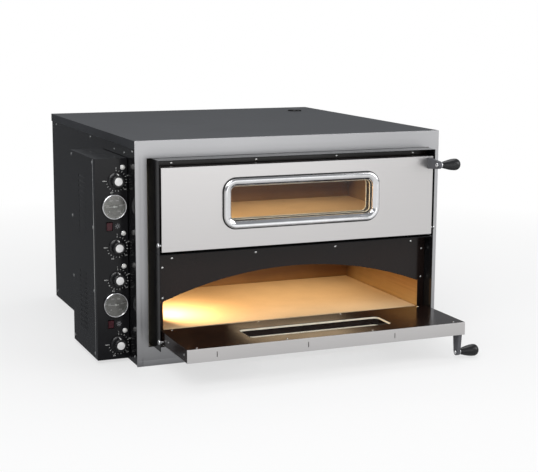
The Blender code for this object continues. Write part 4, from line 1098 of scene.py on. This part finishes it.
knob_bodies = [name for name in frame["bodies"] if name.endswith("_knob")]
for body in knob_bodies:
    place = joint_place[body]
    matrix = on_panel(place.x, place.z, 1.2 * MM)
    form = knob_form()
    bmesh.ops.transform(form, matrix=matrix, verts=form.verts)
    new_piece(body + "_turned", form, body, black_plastic, [body])
    cap = spun([
        (0.0, KNOB_LENGTH + 0.7 * MM), (5 * MM, KNOB_LENGTH + 0.6 * MM), (8.4 * MM, KNOB_LENGTH + 0.3 * MM),
        (9.2 * MM, KNOB_LENGTH - 0.1 * MM), (9.2 * MM, KNOB_LENGTH - 0.5 * MM),
        (0.0, KNOB_LENGTH - 0.5 * MM)], matrix, 48)
    new_piece(body + "_cap", cap, body, cap_white)
    pointer = bmesh.new()
    rounded_box(pointer, (0, KNOB_RADIUS * 1.02, KNOB_LENGTH * 0.55),
                (1.8 * MM, 3.4 * MM, KNOB_LENGTH * 0.75), 0.5 * MM)
    bmesh.ops.transform(pointer, matrix=matrix, verts=pointer.verts)
    new_piece(body + "_pointer", pointer, body, cap_white)

# %% [markdown]
# ## Printed scales
# Round each knob a white scale runs from zero to its highest heat. Ticks are slim boxes that a
# loop turns round the axis, and the numbers are generic figures from the built-in font. Both
# stand about a tenth of a millimetre proud, as thick ink does.

# %% Scales on the panel
PRINT_RISE = 0.12 * MM
SCALE_START = radians(90)
SCALE_SWEEP = radians(270)
SCALE_STEPS = 9


def number_form(text, height, matrix):
    """A printed number, centred on a matrix's origin."""
    curve = bpy.data.curves.new("number", "FONT")
    curve.body = text
    curve.size = height
    curve.align_x = "CENTER"
    curve.align_y = "CENTER"
    curve.resolution_u = 2
    curve.extrude = PRINT_RISE
    helper = bpy.data.objects.new("number", curve)
    bpy.context.scene.collection.objects.link(helper)
    mesh = as_shown(helper)
    mesh.transform(matrix)
    return mesh


def around(angle, radius, level=0.0, upright=True):
    """A place on a circle about +Z; an upright one isn't turned with the circle."""
    place = Matrix.Translation((radius * cos(angle), radius * sin(angle), level))
    return place if upright else place @ Matrix.Rotation(angle, 4, "Z")


for body in knob_bodies:
    scale = bmesh.new()
    centre = on_panel(joint_place[body].x, joint_place[body].z)
    for step in range(SCALE_STEPS * 2 - 1):
        angle = SCALE_START - SCALE_SWEEP * step / (SCALE_STEPS * 2 - 2)
        long = 3.4 * MM if step % 2 == 0 else 2.0 * MM
        bmesh.ops.create_cube(scale, size=1.0, matrix=centre @ around(angle, 22.2 * MM + long / 2, 0, False)
                              @ Matrix.Diagonal((long, 0.9 * MM, 2 * PRINT_RISE, 1)))
    for step in range(SCALE_STEPS):
        angle = SCALE_START - SCALE_SWEEP * step / (SCALE_STEPS - 1)
        if step % 2 == 0:
            scale.from_mesh(number_form(str(step * 50), 4.4 * MM, centre @ around(angle, 29.0 * MM)))
    new_piece(body + "_scale", scale, "cabinet", white_print)

# %% [markdown]
# ## Pilot lamps
# A milky dome in a slim chrome ring stands above each knob. Both are turned; the dome's points
# come from a quarter ellipse, so that it reads as a lens and not as a button.

# %% Pilot lamps
for node in sorted(frame["nodes"]):
    if node.endswith("_pilot_lamp"):
        low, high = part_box(node)
        radius = (high.x - low.x) / 2
        matrix = on_panel((low.x + high.x) / 2, (low.z + high.z) / 2)
        dome = [((radius - 0.8 * MM) * sin(angle), 0.6 * MM + 3.4 * MM * cos(angle))
                for angle in evenly(0.0, pi / 2, 8)]
        dome += [(radius - 0.8 * MM, -0.3 * MM), (4.6 * MM, -0.3 * MM), (4.6 * MM, -11 * MM), (0.0, -11 * MM)]
        new_piece(node + "_lens", spun(dome, matrix, 32), "cabinet", pilot_lens, [node])
        inside = radius - 0.75 * MM
        new_piece(node + "_ring", spun([
            (inside, 0.2 * MM), (radius, 0.2 * MM), (radius, 1.0 * MM), (inside, 1.3 * MM),
            (inside, 0.2 * MM)], matrix, 32, 0.15 * MM), "cabinet", chrome)

# %% [markdown]
# ## Thermometers
# Each deck has a round dial thermometer: a deep chrome rim, a brushed grey dial with white
# ticks and figures, a slim pointer and a slightly domed glass. The dial's brushing runs round
# its centre, so its noise reads the angle about that centre and not the place.

# %% Dial finish
def dial_silver(name, centre):
    silver = Finish(name, {"Metallic": 0.9})
    place = silver.node("ShaderNodeVectorMath", {"operation": "SUBTRACT"},
                        {0: silver.place, 1: centre}, "Vector")
    parts = [silver.node("ShaderNodeSeparateXYZ", {}, {"Vector": place}, axis) for axis in ("X", "Z")]
    turn = parts[0].maths("ARCTAN2", parts[0], parts[1])
    ray = silver.node("ShaderNodeTexNoise", {"noise_dimensions": "1D"},
                      {"W": turn, "Scale": 40.0, "Detail": 4.0})
    blot = silver.noise(60.0, 3.0)
    silver.feed(
        Base_Color=silver.blend(silver.spread(ray * 0.7 + blot * 0.3, 0.0, 1.0), paint(0.10, 0.098, 0.095),
                                paint(0.30, 0.29, 0.28)),
        Roughness=silver.spread(ray, 0.28, 0.46),
        Normal=silver.bump(ray, 0.06, 0.1 * MM))
    return silver


print("dial finish ready")

# %% Thermometer
DIAL_DROP = 5.5 * MM        # from the rim's crown back to the dial
DIAL_STEPS = 40
FIGURE_EVERY = 8
for deck in DECKS:
    place = joint_place[deck + "_needle"]
    matrix = on_panel(place.x, place.z)
    low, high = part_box(deck + "_gauge_case")
    rim = (high.x - low.x) / 2
    proud = panel_y - low.y
    back = panel_y - high.y
    mouth = rim - 3 * MM
    dial_level = proud - DIAL_DROP
    new_piece(deck + "_gauge_rim", spun([
        (0.0, dial_level - 1 * MM), (mouth, dial_level - 1 * MM), (mouth, proud - 0.6 * MM),
        (mouth + 0.5 * MM, proud - 0.1 * MM), (mouth + 1.3 * MM, proud), (mouth + 2.2 * MM, proud - 0.6 * MM),
        (rim - 0.15 * MM, proud - 2.0 * MM), (rim, proud - 3.6 * MM), (rim, 0.3 * MM), (26 * MM, 0.3 * MM),
        (26 * MM, back), (0.0, back)], matrix, 96, 0.12 * MM),
        "cabinet", chrome, [deck + "_gauge_case"])
    dial_centre = Vector((place.x, panel_y - dial_level, place.z))
    dial = spun([
        (0.0, dial_level), (mouth - 0.1 * MM, dial_level), (mouth - 0.1 * MM, dial_level - 0.8 * MM),
        (0.0, dial_level - 0.8 * MM)], matrix, 64)
    new_piece(deck + "_gauge_dial", dial, "cabinet", dial_silver(deck + "_dial_silver", dial_centre))
    marks = bmesh.new()
    for step in range(DIAL_STEPS + 1):
        angle = radians(225) - radians(270) * step / DIAL_STEPS
        figure = step % FIGURE_EVERY == 0
        long, wide = (4.0 * MM, 1.0 * MM) if figure else (2.0 * MM, 0.4 * MM)
        at_tick = matrix @ around(angle, 24.6 * MM - long / 2, dial_level, False)
        bmesh.ops.create_cube(marks, size=1.0, matrix=at_tick
                              @ Matrix.Diagonal((long, wide, 2 * PRINT_RISE, 1)))
        if figure:
            marks.from_mesh(number_form(str(step // FIGURE_EVERY * 100), 5.0 * MM,
                                        matrix @ around(angle, 15.6 * MM, dial_level)))
    new_piece(deck + "_gauge_marks", marks, "cabinet", white_print)
    top = proud - 0.8 * MM
    reach = mouth - 0.3 * MM
    glass_profile = [(reach * share, top - 1.0 * MM * share ** 2) for share in evenly(0.0, 1.0, 8)]
    glass_profile += [(reach, top - 1.6 * MM), (0.0, top - 1.6 * MM)]
    new_piece(deck + "_gauge_lens", spun(glass_profile, matrix, 64), "cabinet", dial_glass,
              [deck + "_gauge_glass"])

# %% [markdown]
# ## Needles
# A needle is a slim tapered blade on a round hub. It rides on its own body and turns about the
# dial's centre. At rest it points to the left, a little above the lowest mark.

# %% Needle
for deck in DECKS:
    body = deck + "_needle"
    place = joint_place[body]
    proud = panel_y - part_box(deck + "_gauge_case")[0].y
    level = proud - DIAL_DROP + 1.1 * MM
    matrix = on_panel(place.x, place.z)
    needle = bmesh.new()
    made = bmesh.ops.create_cube(needle, size=1.0, matrix=Matrix.Translation((-6 * MM, 0, level)) @
                                 Matrix.Diagonal((26 * MM, 1.8 * MM, 0.5 * MM, 1)))
    for vert in made["verts"]:
        if vert.co.x < -6 * MM:
            vert.co.y *= 0.22
    bmesh.ops.create_cone(needle, cap_ends=True, segments=24, radius1=2.6 * MM, radius2=2.2 * MM,
                          depth=1.5 * MM, matrix=Matrix.Translation((0, 0, level + 0.1 * MM)))
    bmesh.ops.transform(needle, matrix=matrix, verts=needle.verts)
    new_piece(deck + "_needle_blade", needle, body, cap_white, [deck + "_gauge_needle"])

# %% [markdown]
# ## Light switches
# A red rocker in a black frame switches each chamber's lamp. The rocker keeps its solid form
# with softer edges, and rides on its own body so that it can tip. The frame round it is the
# same moulding as the window's, only small, and a printed sun stands beside it.

# %% Switches
FRAME_SHARES = [(0.0, 0.0), (0.02, 0.7), (0.2, 1.0), (0.8, 1.0), (0.98, 0.6), (1.0, 0.0)]
for deck in DECKS:
    place = joint_place[deck + "_switch"]
    softened(deck + "_light_switch", deck + "_rocker", deck + "_switch", red_lens, 0.15 * MM, 2,
             0.5 * MM)
    form = moulding(18.2 * MM, 24.2 * MM, 1.6 * MM, 0.0, section_steps(FRAME_SHARES, 1.5 * MM, 1.6 * MM))
    bmesh.ops.translate(form, vec=(place.x, panel_y - 0.15 * MM, place.z), verts=form.verts)
    new_piece(deck + "_switch_frame", form, "cabinet", black_plastic)
    sun = spun([(2.2 * MM, 0.0), (2.2 * MM, PRINT_RISE), (3.2 * MM, PRINT_RISE), (3.2 * MM, 0.0),
                (2.2 * MM, 0.0)], Matrix.Identity(4), 24)
    for ray in range(8):
        bmesh.ops.create_cube(sun, size=1.0, matrix=around(tau * ray / 8, 5.2 * MM, 0, False)
                              @ Matrix.Diagonal((2.0 * MM, 0.8 * MM, 2 * PRINT_RISE, 1)))
    bmesh.ops.transform(sun, matrix=on_panel(place.x + 19 * MM, place.z), verts=sun.verts)
    new_piece(deck + "_switch_symbol", sun, "cabinet", grey_plastic)

# %% [markdown]
# ## Cable gland and switchgear
# The mains lead would leave through a gland in the housing's rear: a six-sided nut and a domed
# clamping nut with a bore right through. The thermostats and the terminal block are out of
# sight inside the housing, so they keep their solids in a moulded grey.

# %% Gland and switchgear
gland_low, gland_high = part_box("cable_gland")
gland_radius = (gland_high.x - gland_low.x) / 2
gland_y = housing_high.y
bore = 6 * MM
gland_middle = middle("cable_gland")
gland_place = Matrix.Translation((gland_middle.x, gland_y, gland_middle.z)) @ FACING["rear"]
long = gland_high.y - gland_y
nut_long = long * 0.36
inward = gland_low.y - gland_y
gland = spun([(bore, long), (gland_radius * 0.74, long), (gland_radius * 0.84, long * 0.90),
              (gland_radius * 0.90, long * 0.55), (gland_radius * 0.90, nut_long),
              (gland_radius * 0.75, nut_long), (gland_radius * 0.75, inward), (bore, inward), (bore, long)],
             gland_place, 48, 0.3 * MM)
new_piece("gland_dome_nut", gland, "cabinet", black_plastic, ["cable_gland"])
nut_bore = gland_radius * 0.76
nut = spun([(nut_bore, 0.3 * MM), (gland_radius, 0.3 * MM), (gland_radius, nut_long),
            (nut_bore, nut_long), (nut_bore, 0.3 * MM)], gland_place, 6, 0.3 * MM)
new_piece("gland_hex_nut", nut, "cabinet", black_plastic)
for node in frame["nodes"]:
    if node.endswith("_thermostat") or node == "terminal_block":
        finish_node(node, grey_plastic)

# %% [markdown]
# ## Studio floor and light
# The oven stands on a plain pale floor that fades into a white surround. The floor's own
# shadow is kept near the oven: further out its shader turns into plain light, so that no
# horizon shows. In mirror reflections it is dimmer under and behind the oven, as if a dark
# flag lay there, which keeps the glossy black sides black. Large soft lamps, and a weak one that
# works as a white card in front, give the steel its broad, even sheen. In each chamber a small
# warm light stands for the bulb, and a wider one under the ceiling for its bounce.

# %% Floor and world
def studio_floor():
    floor = Finish("studio_floor", {"Roughness": 0.6})
    distance = floor.node("ShaderNodeVectorMath", {"operation": "LENGTH"}, {0: floor.place}, "Value")
    mottle = floor.noise(2.0, 3.0)
    floor.feed(Base_Color=floor.blend(mottle, paint(0.80, 0.80, 0.80), paint(0.83, 0.83, 0.83)))
    far = floor.spread(distance, 0.65, 1.0, 0.6, 2.2)
    seen = floor.node("ShaderNodeLightPath", {}, {}, "Is Camera Ray")
    mirrored = floor.node("ShaderNodeLightPath", {}, {}, "Is Glossy Ray")
    glow = floor.node("ShaderNodeEmission", {}, {"Color": paint(1, 1, 1), "Strength": 1.0})
    bright = floor.node("ShaderNodeEmission", {}, {"Color": paint(1, 1, 1), "Strength": 0.80})
    dim = floor.node("ShaderNodeEmission", {}, {"Color": paint(0.92, 0.95, 1.0), "Strength": 0.13})
    behind = floor.spread(floor.along("Y"), 0.0, 1.0, -1.0, -0.3)
    flag = floor.node("ShaderNodeMixShader", {}, {0: behind, 1: bright, 2: dim})
    surface = Wire(floor, floor.shader.outputs[0])
    mixed = floor.node("ShaderNodeMixShader", {}, {0: far * seen, 1: surface, 2: glow})
    mixed = floor.node("ShaderNodeMixShader", {}, {0: mirrored, 1: mixed, 2: flag})
    floor.tree.links.new(mixed.socket, floor.tree.nodes["Material Output"].inputs["Surface"])
    bm = bmesh.new()
    bmesh.ops.create_circle(bm, cap_ends=True, segments=64, radius=150.0)
    bmesh.ops.translate(bm, vec=(0, 0, -0.2 * MM), verts=bm.verts)
    stand = temporary(bm, "studio_floor")
    stand.data.materials.append(floor.material)


def studio_world():
    world = bpy.data.worlds.new("studio_world")
    bpy.context.scene.world = world
    world.use_nodes = True
    tree = world.node_tree
    seen = tree.nodes["Background"]
    seen.inputs["Color"].default_value = paint(1.0, 1.0, 1.0)
    seen.inputs["Strength"].default_value = 1.0
    ambient = tree.nodes.new("ShaderNodeBackground")
    ambient.inputs["Color"].default_value = paint(0.93, 0.96, 1.0)
    ambient.inputs["Strength"].default_value = 0.30
    path = tree.nodes.new("ShaderNodeLightPath")
    mix = tree.nodes.new("ShaderNodeMixShader")
    tree.links.new(path.outputs["Is Camera Ray"], mix.inputs[0])
    tree.links.new(ambient.outputs[0], mix.inputs[1])
    tree.links.new(seen.outputs[0], mix.inputs[2])
    tree.links.new(mix.outputs[0], tree.nodes["World Output"].inputs["Surface"])


def soft_lamp(name, place, aim, size, power, colour=(1, 1, 1)):
    """A square area lamp that faces a point."""
    data = bpy.data.lights.new(name, "AREA")
    data.size = size
    data.energy = power
    data.color = colour
    lamp = bpy.data.objects.new(name, data)
    bpy.context.scene.collection.objects.link(lamp)
    lamp.location = place
    lamp.rotation_mode = "QUATERNION"
    lamp.rotation_quaternion = (Vector(aim) - Vector(place)).to_track_quat("-Z", "Y")
    print(name, power, "W")


studio_floor()
studio_world()
OVEN_MIDDLE = (0.0, 0.0, 0.25)
soft_lamp("key_softbox", (-1.6, -2.6, 2.6), OVEN_MIDDLE, 2.2, 70)
soft_lamp("fill_softbox", (2.6, -2.2, 1.6), OVEN_MIDDLE, 2.0, 36)
soft_lamp("top_softbox", (0.3, 0.6, 3.0), OVEN_MIDDLE, 2.6, 42)
soft_lamp("front_card", (0.55, -3.3, 0.7), (0.0, -0.4, 0.25), 1.9, 8.5)

# %% Chamber light
WARM = (1.0, 0.70, 0.38)
WARM_BOUNCE = (1.0, 0.74, 0.46)
GLOW_SHARE = {"lower": 1.0, "upper": 0.66}
for deck in DECKS:
    lens = middle(deck + "_chamber_lamp")
    lens.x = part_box(deck + "_chamber_lamp")[1].x
    stone = middle(deck + "_hearth_stone")
    soft_lamp(deck + "_oven_light", lens + Vector((0.018, 0.030, 0.024)),
              lens + Vector((0.40, 0.13, -0.05)), 80 * MM, 1.8 * GLOW_SHARE[deck], WARM)
    soft_lamp(deck + "_ceiling_bounce", (0.12, stone.y, lens.z + 0.05), (0.13, stone.y, lens.z - 0.20),
              0.32, 0.42 * GLOW_SHARE[deck], WARM_BOUNCE)

# %% [markdown]
# The plain display transform keeps whites white, as in a product sheet.

bpy.context.scene.view_settings.view_transform = "Standard"
